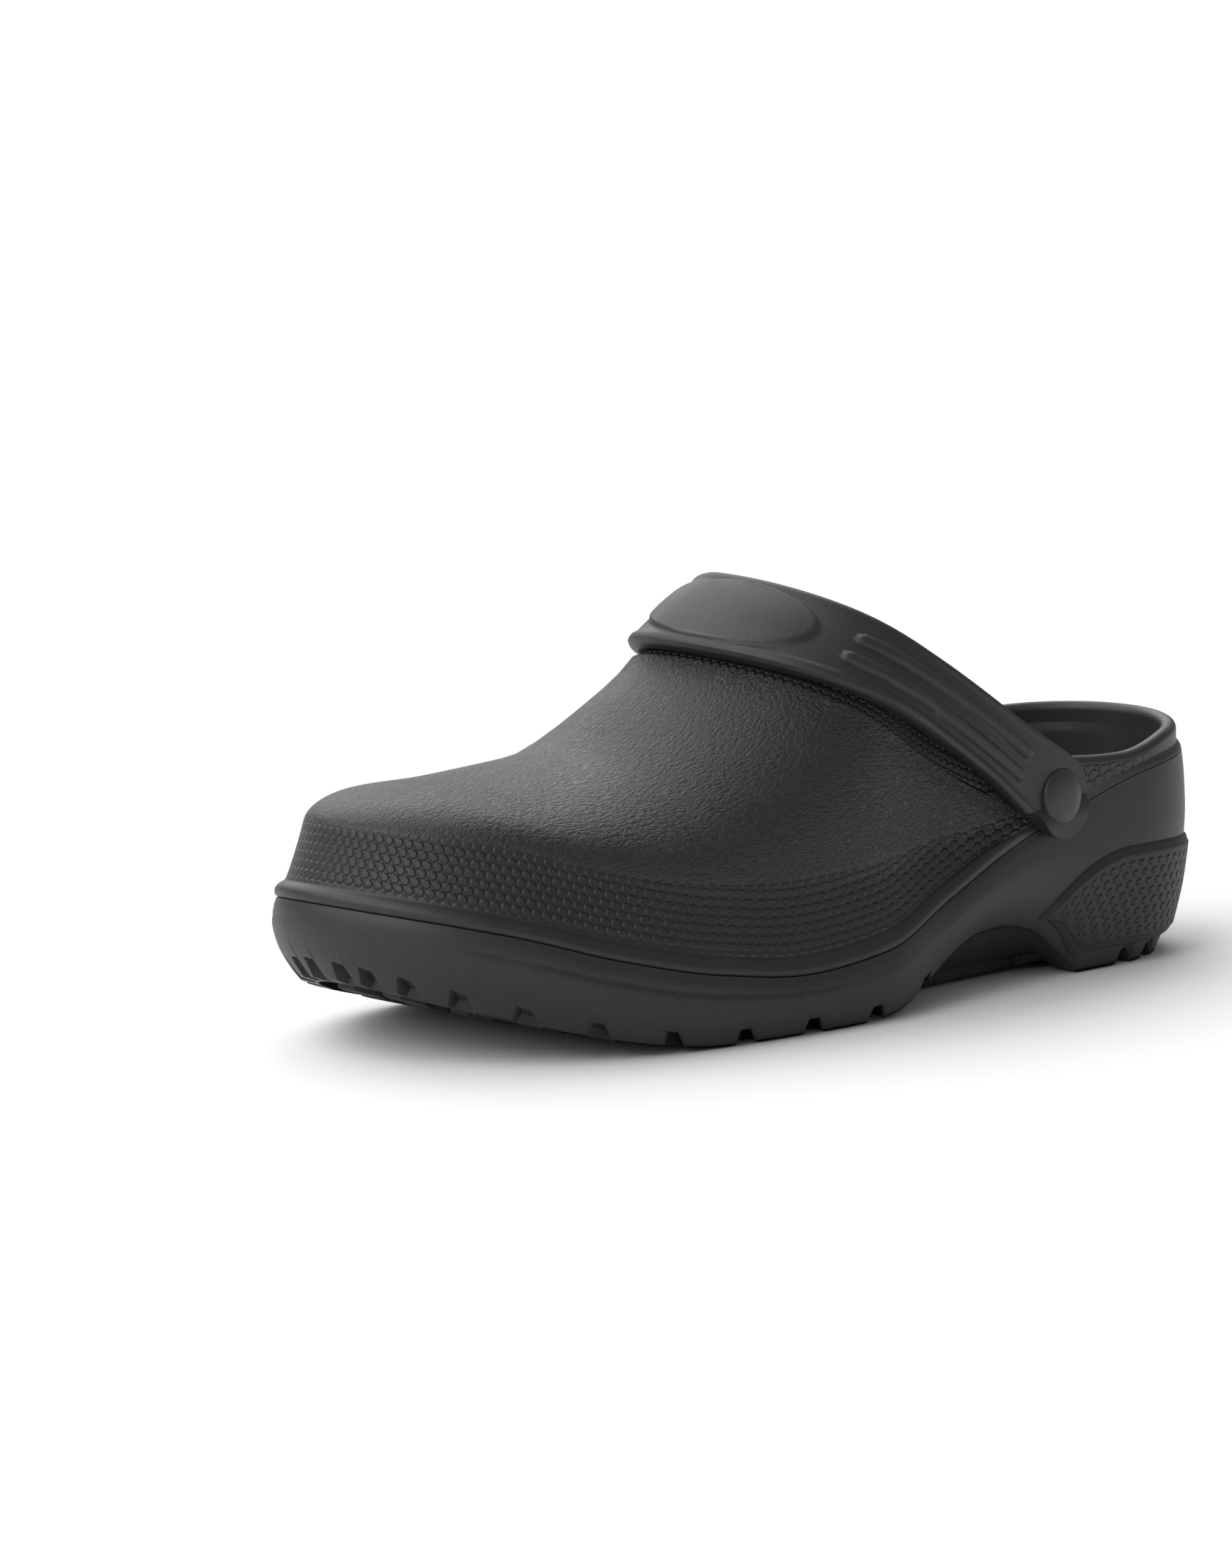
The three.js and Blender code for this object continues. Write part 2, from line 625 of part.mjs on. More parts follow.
// A wedge that notches the skirt, set square to its edge at a station of the outline.
function notchAt(x, side) {
  const step = 0.5;
  const below = 3;
  const here = outlineY(x, side, 0, 0, LENGTH);
  const next = outlineY(x - step, side, 0, 0, LENGTH);
  const along = unit([-step, next - here, 0]);
  const inward = [-side * along[1], side * along[0], 0];
  const facing = inward[1] * side < 0 ? inward : [-inward[0], -inward[1], 0];
  const base = ground(x) - below;
  const topZ = ground(x) + SKIRT_LIFT + NOTCH.depth;
  const ring = (out, z, half) => [
    addScaled(addScaled([x, here, z], facing, out), along, -half),
    addScaled(addScaled([x, here, z], facing, out), along, half),
  ];
  const wide = NOTCH.mouth * (1 + below / NOTCH.depth);
  const near = [...ring(-NOTCH.over, base, wide), ...ring(-NOTCH.over, topZ, NOTCH.top).reverse()];
  const far = [
    ...ring(NOTCH.reach, base, wide),
    ...ring(NOTCH.reach, topZ - NOTCH.slope, NOTCH.top).reverse(),
  ];
  const point = (loopOf) => loopOf.map(() => loopOf[0]);
  return solid(skin([point(near), near, far, point(far)]));
}
// Stations on the outline at given distances along it, measured from the tip or from the heel.
function stationsAlong(distances, side, fromToe) {
  const found = [];
  const steps = 900;
  let travelled = 0;
  let before = null;
  let next = 0;
  for (let i = 0; i <= steps && next < distances.length; i++) {
    const walked = 0.6 * LENGTH * (i / steps) ** 2;
    const x = fromToe ? LENGTH - walked : walked;
    const y = outlineY(x, side, 0, 0, LENGTH);
    if (before) travelled += Math.hypot(x - before[0], y - before[1]);
    before = [x, y];
    if (travelled >= distances[next]) {
      found.push(x);
      next++;
    }
  }
  return found;
}
function notches() {
  const list = [];
  const toe = [];
  let at = TOE_NOTCHES.first;
  for (let i = 0; i < TOE_NOTCHES.count; i++) {
    toe.push(at);
    at += mix(TOE_NOTCHES.near, TOE_NOTCHES.far, clamp((2 * i) / (TOE_NOTCHES.count + 1)));
  }
  const heel = [];
  for (let i = 0; i < HEEL_NOTCHES.count; i++)
    heel.push(HEEL_NOTCHES.first + i * HEEL_NOTCHES.apart);
  for (const side of [1, -1]) {
    for (const x of stationsAlong(toe, side, true)) list.push(notchAt(x, side));
    for (const x of stationsAlong(heel, side, false)) list.push(notchAt(x, side));
  }
  return list;
}

// The outsole: a plate that fills the pocket, with lugs under heel and forefoot.
function plateGeometry() {
  const out = (x) => treadOut(x) - PLATE_PLAY;
  const top = (x) => ground(x) + TREAD - PLATE_PLAY;
  const bevel = 0.8;
  const bottom = (x) => ground(x) + mix(TREAD - PLATE, SHANK_LIFT, archShare(x));
  return skin([
    spine(out, bottom),
    level((x) => out(x) - bevel, bottom),
    level(out, (x) => bottom(x) + bevel),
    level(out, top),
    spine(out, top),
  ]);
}
function lugs() {
  const list = [];
  const rise = LUG.pitch * Math.sin(Math.PI / 3);
  const room = (x, y) => {
    const side = y > centre(x) ? 1 : -1;
    const out = treadOut(x) - PLATE_PLAY;
    return side * (outlineY(x, side, out, -out, LENGTH + out) - y);
  };
  for (let row = 1; row * rise < LENGTH; row++)
    for (let k = -5; k <= 5; k++) {
      const x = row * rise;
      const y = (k + (row % 2) / 2) * LUG.pitch + centre(x);
      if (archShare(x) > 0.02) continue;
      const corners = Array.from({ length: LUG.sides }, (_, i) => {
        const a = ((i + 0.5) * 2 * Math.PI) / LUG.sides;
        return [x + LUG.radius * Math.cos(a), y + LUG.radius * Math.sin(a)];
      });
      const inside = ([cx, cy]) => cx > SKIRT && cx < LENGTH - SKIRT && room(cx, cy) > LUG.room;
      if (!corners.every(inside)) continue;
      const ring = (shrink, lift) =>
        corners.map(([cx, cy]) => {
          const [px, py] = [mix(cx, x, shrink), mix(cy, y, shrink)];
          return [px, py, ground(px) + lift];
        });
      const flat = (lift) => corners.map(() => [x, y, ground(x) + lift]);
      const height = TREAD - PLATE + LUG.root;
      list.push(solid(skin([flat(0), ring(0.1, 0), ring(0, height), flat(height)])));
    }
  return list;
}

// The insole lies on the floor of the body and turns up along its edge.
function insoleGeometry() {
  const over = (lift) => (x) => floor(x) + lift;
  const into = (inward) => () => -FLOOR.edge - inward;
  const top = INSOLE.thick;
  const foot = FLOOR.fillet + 3;
  return skin([
    spine(into(foot), over(INSOLE.play), BED_SHORT),
    level(into(foot), over(INSOLE.play)),
    level(into(0.6 * FLOOR.fillet), over(0.52 * top)),
    level(into(INSOLE.play), over(top)),
    level(into(0.8), over(top + INSOLE.lip)),
    level(into(3), over(top + 0.6 * INSOLE.lip)),
    level(into(9), over(top)),
    spine(into(foot), over(top), BED_SHORT),
  ]);
}

// The strap lies over the upper. Rays from the line between the rivets find the surface under it.
const TILT = (STRAP.tilt * Math.PI) / 180;
const REACH_WAY = [Math.cos(TILT), 0, Math.sin(TILT)];
const WIDTH_WAY = [-Math.sin(TILT), 0, Math.cos(TILT)];
function insideUpper(p) {
  const side = p[1] > ridge(p[0]) ? 1 : -1;
  if (p[2] >= band(p[0])) {
    const edgeY = bandY(p[0], side);
    return side * (p[1] - edgeY) < 0 && p[2] < shellZ(p[0], p[1]);
  }
  const low = clamp((band(p[0]) - p[2]) / 3);
  return side * (p[1] - outlineY(p[0], side, mix(-inset(p[0]), 0, low), 0, LENGTH)) < 0;
}
function rayTo(angle, across) {
  const from = addScaled([RIVET.x, 0, RIVET_Z], WIDTH_WAY, across);
  const way = [
    REACH_WAY[0] * Math.cos(angle),
    Math.sin(angle),
    REACH_WAY[2] * Math.cos(angle),
  ];
  let [low, high] = [0, 160];
  for (let i = 0; i < 34; i++) {
    const middle = (low + high) / 2;
    if (insideUpper(addScaled(from, way, middle))) low = middle;
    else high = middle;
  }
  return { reach: low * Math.cos(angle), point: addScaled(from, way, low) };
}
const strapWidth = curve(STRAP_WIDTH, "half");
// A point of the strap: angle round it, mm across it from its own middle, mm out from the upper.
function strapPoint(angle, across, out) {
  const reach = rayTo(angle, 0).reach;
  const bow = STRAP.bow * Math.sin(Math.PI * clamp(reach / STRAP.reach));
  const at = (a, w) => rayTo(a, w + bow).point;
  const tiny = 0.02;
  const here = at(angle, across);
  const round = minus(at(angle + tiny, across), at(angle - tiny, across));
  const over = minus(at(angle, across + 1), at(angle, across - 1));
  return addScaled(here, unit(crossed(round, over)), out);
}
const strapHalf = (reach) =>
  reach < 0
    ? Math.sqrt(Math.max(0, STRAP.end ** 2 - reach ** 2))
    : STRAP.end * strapWidth(reach / STRAP.reach);

// The middle of the strap on one side, sampled from the rivet to the crown of the instep.
function walkStrap(side) {
  const steps = 90;
  const list = [];
  for (let i = 0; i <= steps; i++) {
    const angle = side * (Math.PI / 2) * (1 - i / steps);
    const point = rayTo(angle, 0).point;
    const before = list[i - 1] || { point, run: 0 };
    list.push({ angle, point, run: before.run + Math.hypot(...minus(point, before.point)) });
  }
  return list;
}
const STRAP_SIDES = { lateral: walkStrap(1), medial: walkStrap(-1) };
// The angle at a distance along the middle of the strap from the rivet of one side.
function angleAt(run, side) {
  const list = side > 0 ? STRAP_SIDES.lateral : STRAP_SIDES.medial;
  let i = 1;
  while (i + 1 < list.length && list[i].run < run) i++;
  const t = clamp((run - list[i - 1].run) / (list[i].run - list[i - 1].run));
  return mix(list[i - 1].angle, list[i].angle, t);
}
const runOf = (side) => (side > 0 ? STRAP_SIDES.lateral : STRAP_SIDES.medial).at(-1).run;
// The same from the crown of the instep, towards the lateral side when it is above zero.
function angleFromCrown(distance) {
  const side = distance < 0 ? -1 : 1;
  return angleAt(runOf(side) - Math.abs(distance), side);
}
// Angles of the strap's stations on one side: close together round its end, then evenly along it.
function strapAngles(side) {
  const width = Math.abs(rayTo(Math.PI / 2, 0).point[1]);
  const endTurn = Math.asin(STRAP.end / width);
  const round = [0, 0.15, 0.34, 0.56, 0.78].map(
    (k) => side * (Math.PI / 2 + endTurn * Math.cos((k * Math.PI) / 2)),
  );
  const even = 16;
  const along = Array.from({ length: even }, (_, i) => angleAt((i * runOf(side)) / even, side));
  return [...round, ...along];
}

function strapGeometry() {
  const angles = [...strapAngles(1), 0, ...strapAngles(-1).reverse()];
  const rows = angles.map((angle, i) => {
    // The two tips have no width, which closes the skin.
    const tip = i === 0 || i + 1 === angles.length;
    const half = tip ? 0 : strapHalf(rayTo(angle, 0).reach);
    const flat = STRAP.lip * smooth(0, 4, half);
    const outer = STRAP_SECTION.map((row) =>
      strapPoint(angle, row.at * half, STRAP.gap + STRAP.thick + row.out * flat),
    );
    const inner = [0.97, 0.35, -0.35, -0.97].map((w) => strapPoint(angle, w * half, STRAP.gap));
    return [...outer, ...inner];
  });
  return skin(rows);
}
// A long rib with round ends, rooted in the strap.
function ribGeometry(side, across) {
  const round = RIB.width;
  const length = RIB.to - RIB.from;
  const ends = [0, 0.12, 0.5, 1].map((k) => k * round);
  const middle = [0.2, 0.4, 0.6, 0.8].map((k) => k * length);
  const runs = [...ends, ...middle, ...ends.map((k) => length - k).reverse()];
  const top = STRAP.gap + STRAP.thick;
  const section = [
    { w: -1, out: -0.5 * STRAP.thick },
    { w: -1, out: 0 },
    { w: -0.6, out: 0.8 * RIB.height },
    { w: 0, out: RIB.height },
    { w: 0.6, out: 0.8 * RIB.height },
    { w: 1, out: 0 },
    { w: 1, out: -0.5 * STRAP.thick },
  ];
  const rows = runs.map((run) => {
    const left = clamp(Math.min(run, length - run) / round);
    const scale = Math.sqrt(1 - (1 - left) ** 2);
    const angle = angleAt(RIB.from + run, side);
    return section.map(({ w, out }) =>
      strapPoint(angle, across + w * RIB.width * scale, top + (out > 0 ? out * scale : out)),
    );
  });
  return skin(rows);
}
// The plain oval over the instep.
function badgeGeometry() {
  const around = 24;
  const top = STRAP.gap + STRAP.thick;
  const ring = (scale, out) =>
    Array.from({ length: around }, (_, i) => {
      const a = (2 * Math.PI * i) / around;
      const angle = angleFromCrown(BADGE.length * scale * Math.cos(a) + BADGE.shift);
      return strapPoint(angle, BADGE.width * scale * Math.sin(a), out);
    });
  return skin([
    ring(0, top - BADGE.root),
    ring(0.3, top - BADGE.root),
    ring(0.62, top - BADGE.root),
    ring(0.97, top - BADGE.root),
    ring(1, top + 0.2 * BADGE.rise),
    ring(0.94, top + BADGE.rise),
    ring(0.62, top + 1.1 * BADGE.rise),
    ring(0.3, top + 1.2 * BADGE.rise),
    ring(0, top + 1.2 * BADGE.rise),
  ]);
}

// Turned pieces round a sideways axis through the rivet: pairs of radius and distance sideways.
const TURNED_SIDES = 22;
function turned(profile, side) {
  const points = profile.map(([r, y]) => new THREE.Vector2(r, y));
  const geometry = new THREE.LatheGeometry(points, TURNED_SIDES);
  if (side < 0) geometry.rotateX(Math.PI);
  geometry.translate(RIVET.x, 0, RIVET_Z);
  return solid(geometry);
}
function rivetParts(side) {
  const angle = (side * Math.PI) / 2;
  const bevel = 0.6;
  const beyond = 6;
  const face = side * strapPoint(angle, 0, STRAP.gap + STRAP.thick)[1];
  const wall = side * rayTo(angle, 0).point[1] - WALL;
  const seat = face - RIVET.sunk;
  const under = wall - RIVET_HEAD.clear;
  const rivet = turned(
    [
      [0, under - RIVET_HEAD.thick],
      [RIVET_HEAD.radius - bevel, under - RIVET_HEAD.thick],
      [RIVET_HEAD.radius, under - RIVET_HEAD.thick + bevel],
      [RIVET_HEAD.radius, under],
      [RIVET.shank, under],
      [RIVET.shank, seat + GAP],
      [RIVET.cap, seat + GAP],
      [RIVET.cap, face],
      [0.85 * RIVET.cap, face + 0.6 * RIVET.rise],
      [0.5 * RIVET.cap, face + 0.9 * RIVET.rise],
      [0, face + RIVET.rise],
    ],
    side,
  );
  const bore = (radius, from, to) =>
    turned(
      [
        [0, from],
        [radius, from],
        [radius, to],
        [0, to],
      ],
      side,
    );
  const hole = bore(RIVET.shank + RIVET.play, under - beyond, face + beyond);
  const counterbore = bore(RIVET.cap + RIVET.ring, seat, face + beyond);
  return { rivet, hole, counterbore };
}

const lateralRivet = rivetParts(1);
const medialRivet = rivetParts(-1);

let body = solid(bodyGeometry()).add(solid(panelGeometry()));
for (const wedge of notches()) body = body.subtract(wedge);
body = body.subtract(lateralRivet.hole).subtract(medialRivet.hole);

let outsole = solid(plateGeometry());
for (const lug of lugs()) outsole = outsole.add(lug);

let strap = solid(strapGeometry());
for (const side of [1, -1])
  for (const across of [-RIB.spread, RIB.spread])
    strap = strap.add(solid(ribGeometry(side, across)));
strap = strap.add(solid(badgeGeometry()));
for (const parts of [lateralRivet, medialRivet])
  strap = strap.subtract(parts.hole).subtract(parts.counterbore);

const clog = new THREE.Group();
function place(name, made, colour, roughness) {
  const material = new THREE.MeshStandardMaterial({ color: colour, roughness, metalness: 0 });
  const mesh = new THREE.Mesh(geometryOf(made), material);
  mesh.name = name;
  clog.add(mesh);
}
place("clog_body", body, 0x2b2b2d, 0.55);
place("outsole", outsole, 0x232325, 0.7);
place("insole", solid(insoleGeometry()), 0x29292b, 0.75);
place("strap", strap, 0x2d2d2f, 0.5);
place("rivet_lateral", lateralRivet.rivet, 0x2f2f31, 0.45);
place("rivet_medial", medialRivet.rivet, 0x2f2f31, 0.45);

// The origin is under the middle of the shoe, on the floor.
const box = new THREE.Box3().setFromObject(clog);
for (const mesh of clog.children)
  mesh.geometry.translate(-(box.min.x + box.max.x) / 2, -(box.min.y + box.max.y) / 2, -box.min.z);

export default clog;
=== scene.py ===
import math

import bmesh
import bpy
import numpy as np
from mathutils import Matrix, Vector


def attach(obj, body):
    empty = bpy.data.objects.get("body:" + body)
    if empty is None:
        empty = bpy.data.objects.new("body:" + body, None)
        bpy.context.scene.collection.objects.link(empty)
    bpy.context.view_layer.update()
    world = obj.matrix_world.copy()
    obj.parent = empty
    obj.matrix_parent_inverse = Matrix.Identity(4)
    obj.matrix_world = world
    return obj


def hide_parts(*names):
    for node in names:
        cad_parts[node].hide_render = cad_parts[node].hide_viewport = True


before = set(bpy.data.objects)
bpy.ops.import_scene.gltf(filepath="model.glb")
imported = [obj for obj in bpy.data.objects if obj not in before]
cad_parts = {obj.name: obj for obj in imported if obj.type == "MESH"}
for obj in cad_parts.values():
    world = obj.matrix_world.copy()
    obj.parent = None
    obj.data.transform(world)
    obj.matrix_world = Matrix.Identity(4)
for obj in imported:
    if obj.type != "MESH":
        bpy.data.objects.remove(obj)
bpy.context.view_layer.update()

# The foam body
# One hollow moulding of closed-cell foam: sole skirt, heel and toe walls, bead, embossed band and
# upper, all injected in one shot. Its wall rolls over at the collar and runs down inside to the
# floor that carries the insole. Lengths are millimetres, with x from 0 at the back of the heel.
LENGTH = 297
BALL_WIDTH = 110
CROWN_HEIGHT = 106
COLLAR_HEIGHT = 57
TOE_SPRING = 22
HEEL_BEVEL = 5
ARCH_HEIGHT = 16
TOE_ROUND = 74
HEEL_ROUND = 46
UNDERCUT = 3.2
TOE_TUCK = 3.5
HEEL_TUCK = 4
STEP_INSET = 8.5
WALL = 4.2
SKIRT = 9
SKIRT_LIFT = 0.4
SHANK = 24
TREAD = 7
FLOOR_EDGE = 11
FLOOR_FILLET = 4
BEAD_HEIGHT = 4.4
BEAD_OUT = 1.1
# The origin of the part's frame in those millimetres.
MIDDLE = np.array([148.2096, 0.2893, 0])

# Plan: share of LENGTH, then centre, lateral and medial as shares of BALL_WIDTH, and the inset of
# the band line as a share of STEP_INSET.
PLAN = np.array([
    (0.0, 0.0, 0.356, 0.356, 0.33),
    (0.12, 0.0, 0.362, 0.362, 0.24),
    (0.26, 0.005, 0.378, 0.366, 0.19),
    (0.34, 0.009, 0.398, 0.37, 0.42),
    (0.42, 0.013, 0.43, 0.38, 0.75),
    (0.52, 0.014, 0.495, 0.412, 0.94),
    (0.62, 0.004, 0.512, 0.468, 1),
    (0.72, -0.012, 0.515, 0.495, 1),
    (0.82, -0.035, 0.5, 0.48, 1),
    (0.91, -0.058, 0.48, 0.45, 0.94),
    (1.0, -0.075, 0.46, 0.42, 0.88),
])
# Heights as shares of CROWN_HEIGHT: parting line, band line and crown.
HEIGHTS = np.array([
    (0.0, 0.525, 0.535, 0.95),
    (0.12, 0.5, 0.513, 1.02),
    (0.26, 0.405, 0.445, 1.1),
    (0.34, 0.335, 0.415, 1.1),
    (0.42, 0.255, 0.392, 1.09),
    (0.52, 0.173, 0.36, 0.98),
    (0.62, 0.15, 0.362, 0.785),
    (0.72, 0.18, 0.385, 0.648),
    (0.82, 0.24, 0.443, 0.632),
    (0.91, 0.315, 0.517, 0.652),
    (1.0, 0.375, 0.56, 0.66),
])
RIDGE = np.array([(0.0, 0), (0.35, -0.05), (0.52, -0.1), (0.66, -0.08), (0.82, -0.05), (1.0, 0)])
TOPLINE = np.array([
    (0.0, 1.06),
    (0.08, 1.03),
    (0.16, 0.97),
    (0.23, 0.99),
    (0.3, 1.15),
    (0.4, 1.5),
    (0.5, 1.81),
    (0.57, 1.94),
])
ARCH = np.array([
    (0.222, 0),
    (0.25, 0.42),
    (0.285, 0.84),
    (0.33, 1),
    (0.362, 0.98),
    (0.395, 0.82),
    (0.432, 0.5),
    (0.465, 0.22),
    (0.5, 0.06),
    (0.54, 0),
])
WALL_DRAW = np.array([(0, 1), (0.16, 0.5), (0.36, 0.125), (0.6, 0), (0.85, 0.22), (1, 0.47)])


def clamp(v, low=0.0, high=1.0):
    return np.clip(v, low, high)


def mix(a, b, t):
    return a + (b - a) * t


def ease(a, b, v):
    """0 below a, 1 above b, and 3t^2 - 2t^3 of the share t in between."""
    t = clamp((v - a) / (b - a))
    return t * t * (3 - 2 * t)


def curve(table, column=1, size=1.0, length=1.0):
    """A cubic through the rows of a table, with harmonic slopes so that it never overshoots."""
    xs = table[:, 0] * length
    ys = table[:, column] * size
    rise = np.diff(ys) / np.diff(xs)
    both = rise[:-1] * rise[1:]
    slope = np.zeros(len(xs))
    slope[0] = rise[0]
    slope[-1] = rise[-1]
    slope[1:-1] = np.where(both > 0, 2 * both / np.where(both > 0, rise[:-1] + rise[1:], 1), 0)

    def at(x):
        x = np.clip(x, xs[0], xs[-1])
        i = np.clip(np.searchsorted(xs, x, side="left") - 1, 0, len(xs) - 2)
        h = xs[i + 1] - xs[i]
        t = (x - xs[i]) / h
        first = ys[i] * (1 + 2 * t) + h * slope[i] * t
        second = ys[i + 1] * (3 - 2 * t) - h * slope[i + 1] * (1 - t)
        return first * (1 - t) ** 2 + second * t * t

    return at


centre = curve(PLAN, 1, BALL_WIDTH, LENGTH)
lateral = curve(PLAN, 2, BALL_WIDTH, LENGTH)
medial = curve(PLAN, 3, BALL_WIDTH, LENGTH)
inset = curve(PLAN, 4, STEP_INSET, LENGTH)
parting = curve(HEIGHTS, 1, CROWN_HEIGHT, LENGTH)
band = curve(HEIGHTS, 2, CROWN_HEIGHT, LENGTH)
crown = curve(HEIGHTS, 3, CROWN_HEIGHT, LENGTH)
ridge_shift = curve(RIDGE, 1, BALL_WIDTH, LENGTH)
topline = curve(TOPLINE, 1, COLLAR_HEIGHT, LENGTH)
arch = curve(ARCH, 1, ARCH_HEIGHT, LENGTH)
wall_draw = curve(WALL_DRAW)


def ground(x):
    """Height of the tread: flat, lifted at the toe by share^1.7 and at the heel by share^2."""
    toe = clamp((x / LENGTH - 0.7) / 0.3)
    heel = clamp((0.1 - x / LENGTH) / 0.1)
    return TOE_SPRING * toe**1.7 + HEEL_BEVEL * heel**2


def foot_edge(x):
    """Lower edge of the side wall, over the tread and up over the arch."""
    return ground(x) + SKIRT_LIFT + arch(x)


def wall_out(x, share):
    """How far the side wall stands out: drawn in by its profile, tucked in under toe and heel."""
    toe = TOE_TUCK * ease(0.78 * LENGTH, LENGTH, x)
    heel = HEEL_TUCK * ease(0.14 * LENGTH, 0, x)
    return -UNDERCUT * wall_draw(share) - (toe + heel) * (1 - share) ** 2


def arch_share(x):
    return clamp(arch(x) / (0.25 * ARCH_HEIGHT))


# Stations crowd towards both ends from this x, which is at this share of them.
QUARTER = 86
QUARTER_S = 0.4


def station(s, start, end):
    """x at a station: quarter cosine from the heel to QUARTER, quarter sine from there on."""
    back = start + (QUARTER - start) * (1 - np.cos(math.pi / 2 * s / QUARTER_S))
    front = QUARTER + (end - QUARTER) * np.sin(math.pi / 2 * (s - QUARTER_S) / (1 - QUARTER_S))
    return np.where(s <= QUARTER_S, back, front)


def rounding(x, start, end):
    """Share of the half width, squared, that is left where the outline rounds in at its ends."""
    toe = clamp((x - (end - TOE_ROUND)) / TOE_ROUND)
    heel = clamp((start + HEEL_ROUND - x) / HEEL_ROUND)
    return (1 - toe**2.7) * (1 - heel**2.4)


def half_width(x, side):
    return np.where(side > 0, lateral(x), medial(x))


def outline_y(x, side, out, start, end):
    """Side of the plan outline: centre plus half width times the root of its rounding."""
    half = half_width(x, side) + out
    return centre(x) + side * half * np.sqrt(np.maximum(rounding(x, start, end), 0))


# The surface over the band line, full at the quarters and rounder over the toe.
BAND_FROM = float(inset(0))
BAND_TO = float(LENGTH - inset(LENGTH))


def band_round(x):
    return rounding(x, BAND_FROM, BAND_TO)


def fullness(x):
    """Power of the superellipse of the upper."""
    return mix(2.9, 2.15, ease(0.46 * LENGTH, 0.66 * LENGTH, x))


def ridge(x):
    return centre(x) + ridge_shift(x) * band_round(x)


def band_y(x, side):
    return outline_y(x, side, -inset(x), BAND_FROM, BAND_TO)


def spread(x, y):
    """Distance from the ridge over the half width, squared: band_round on the band line."""
    side = np.where(y > ridge(x), 1, -1)
    half = half_width(x, side) - inset(x)
    left = np.sqrt(np.maximum(band_round(x), 0))
    return ((y - ridge(x)) / (half - side * ridge_shift(x) * left)) ** 2


def shell_z(x, y):
    """Height of the upper: a superellipse arch between the band line and the crown."""
    left = np.maximum(0, band_round(x) - spread(x, y))
    return band(x) + (crown(x) - band(x)) * left ** (1 / fullness(x))


def shell_normal(p):
    """Slope of the function that is zero on the upper, by central differences."""
    d = 0.05

    def value(x, y, z):
        high = np.maximum(0, z - band(x)) / (crown(x) - band(x))
        return high ** fullness(x) + spread(x, y) - band_round(x)

    x, y, z = p[..., 0], p[..., 1], p[..., 2]
    slope = np.stack([
        value(x + d, y, z) - value(x - d, y, z),
        value(x, y + d, z) - value(x, y - d, z),
        value(x, y, z + d) - value(x, y, z - d),
    ], axis=-1)
    return slope / np.maximum(np.linalg.norm(slope, axis=-1, keepdims=True), 1e-12)


def shell_across(x, z):
    """Share of the width at which the upper passes height z."""
    top = (crown(x) - band(x)) * np.maximum(band_round(x), 0) ** (1 / fullness(x))
    share = clamp((z - band(x)) / np.maximum(top, 1e-6))
    return np.sqrt(np.maximum(1 - share ** fullness(x), 0))


def top_meets_ridge(inside, outside):
    for _ in range(40):
        x = (inside + outside) / 2
        if topline(x) < shell_z(x, ridge(x)):
            inside = x
        else:
            outside = x
    return inside


THROAT = top_meets_ridge(0.4 * LENGTH, 0.7 * LENGTH)
RIM_FROM = top_meets_ridge(0.1 * LENGTH, BAND_FROM)


def shell_point(s, side, share):
    """A point of the upper, share 0 on the band line and 1 at the rim of the collar.

    The quarters go by angle round the section. The front goes in plan from the band line to the
    rim, straight at the toe and by share of the width before it.
    """
    band_x = station(s, BAND_FROM, BAND_TO)
    rim_x = station(s, RIM_FROM, THROAT)
    across = shell_across(rim_x, topline(rim_x))
    rim_y = ridge(rim_x) + (band_y(rim_x, side) - ridge(rim_x)) * across
    x1 = mix(band_x, rim_x, share)
    y1 = ridge(x1) + (band_y(x1, side) - ridge(x1)) * np.cos(share * np.arccos(across))
    along = share**2.3
    x2 = mix(band_x, rim_x, along)
    straight = mix(band_y(band_x, side), rim_y, along)
    even = ridge(x2) + (band_y(x2, side) - ridge(x2)) * mix(1, across, along)
    y2 = mix(even, straight, ease(0.7, 0.92, s))
    front = ease(0.42, 0.84, s)
    x = mix(x1, x2, front)
    y = mix(y1, y2, front)
    return np.stack([x, y, shell_z(x, y)], axis=-1)


def floor_z(x):
    """Floor inside the body, high under the heel and rising with the toe spring."""
    return 0.9 * ground(x) + mix(32, 14, ease(0.2 * LENGTH, 0.62 * LENGTH, x))


def tread_out(x):
    """Edge of the pocket for the outsole: inside the skirt, and narrow under the waist."""
    half = np.minimum(lateral(x), medial(x))
    skirt = -SKIRT + 0.6 * (wall_out(x, 0.0) + UNDERCUT)
    return mix(skirt, np.minimum(skirt, SHANK - half), arch_share(x))


# The crest: a line from over the rivet up to the throat, behind which the upper steps in.
CREST_X = 90
CREST_SLOPE = math.radians(27.7)
CREST_BOW = 2
CREST_Z = float(band(CREST_X)) + 0.65
CREST_DEPTH = 1.9


def behind_crest(p):
    """Distance behind the crest line, which bows forward between the rivet and the throat."""
    ahead = p[..., 0] - CREST_X
    bow = CREST_BOW * np.sin(math.pi * clamp(ahead / (THROAT - CREST_X)))
    return (p[..., 2] - CREST_Z) * math.cos(CREST_SLOPE) - ahead * math.sin(CREST_SLOPE) + bow


def crest_drop(p):
    depth = CREST_DEPTH * ease(88, 124, p[..., 0]) * (1 - 0.4 * ease(120, 148, p[..., 0]))
    return depth * ease(0, 1.0, behind_crest(p))


# Columns of the mesh: even along the outline, with some moved to the edges of the notches.
HALF = 280
AROUND = 2 * HALF
SIDE = np.where(np.arange(AROUND) <= HALF, 1, -1)
NOTCH_DEPTH = 4
NOTCH_MOUTH = 3.6
NOTCH_TOP = 1.9


def along_outline(side):
    """Stations and the distance to each along the outline of one side, from the heel."""
    s = np.linspace(0, 1, 6001)
    x = station(s, 0, LENGTH)
    y = outline_y(x, side, 0, 0, LENGTH)
    return s, np.concatenate([[0], np.cumsum(np.hypot(np.diff(x), np.diff(y)))])


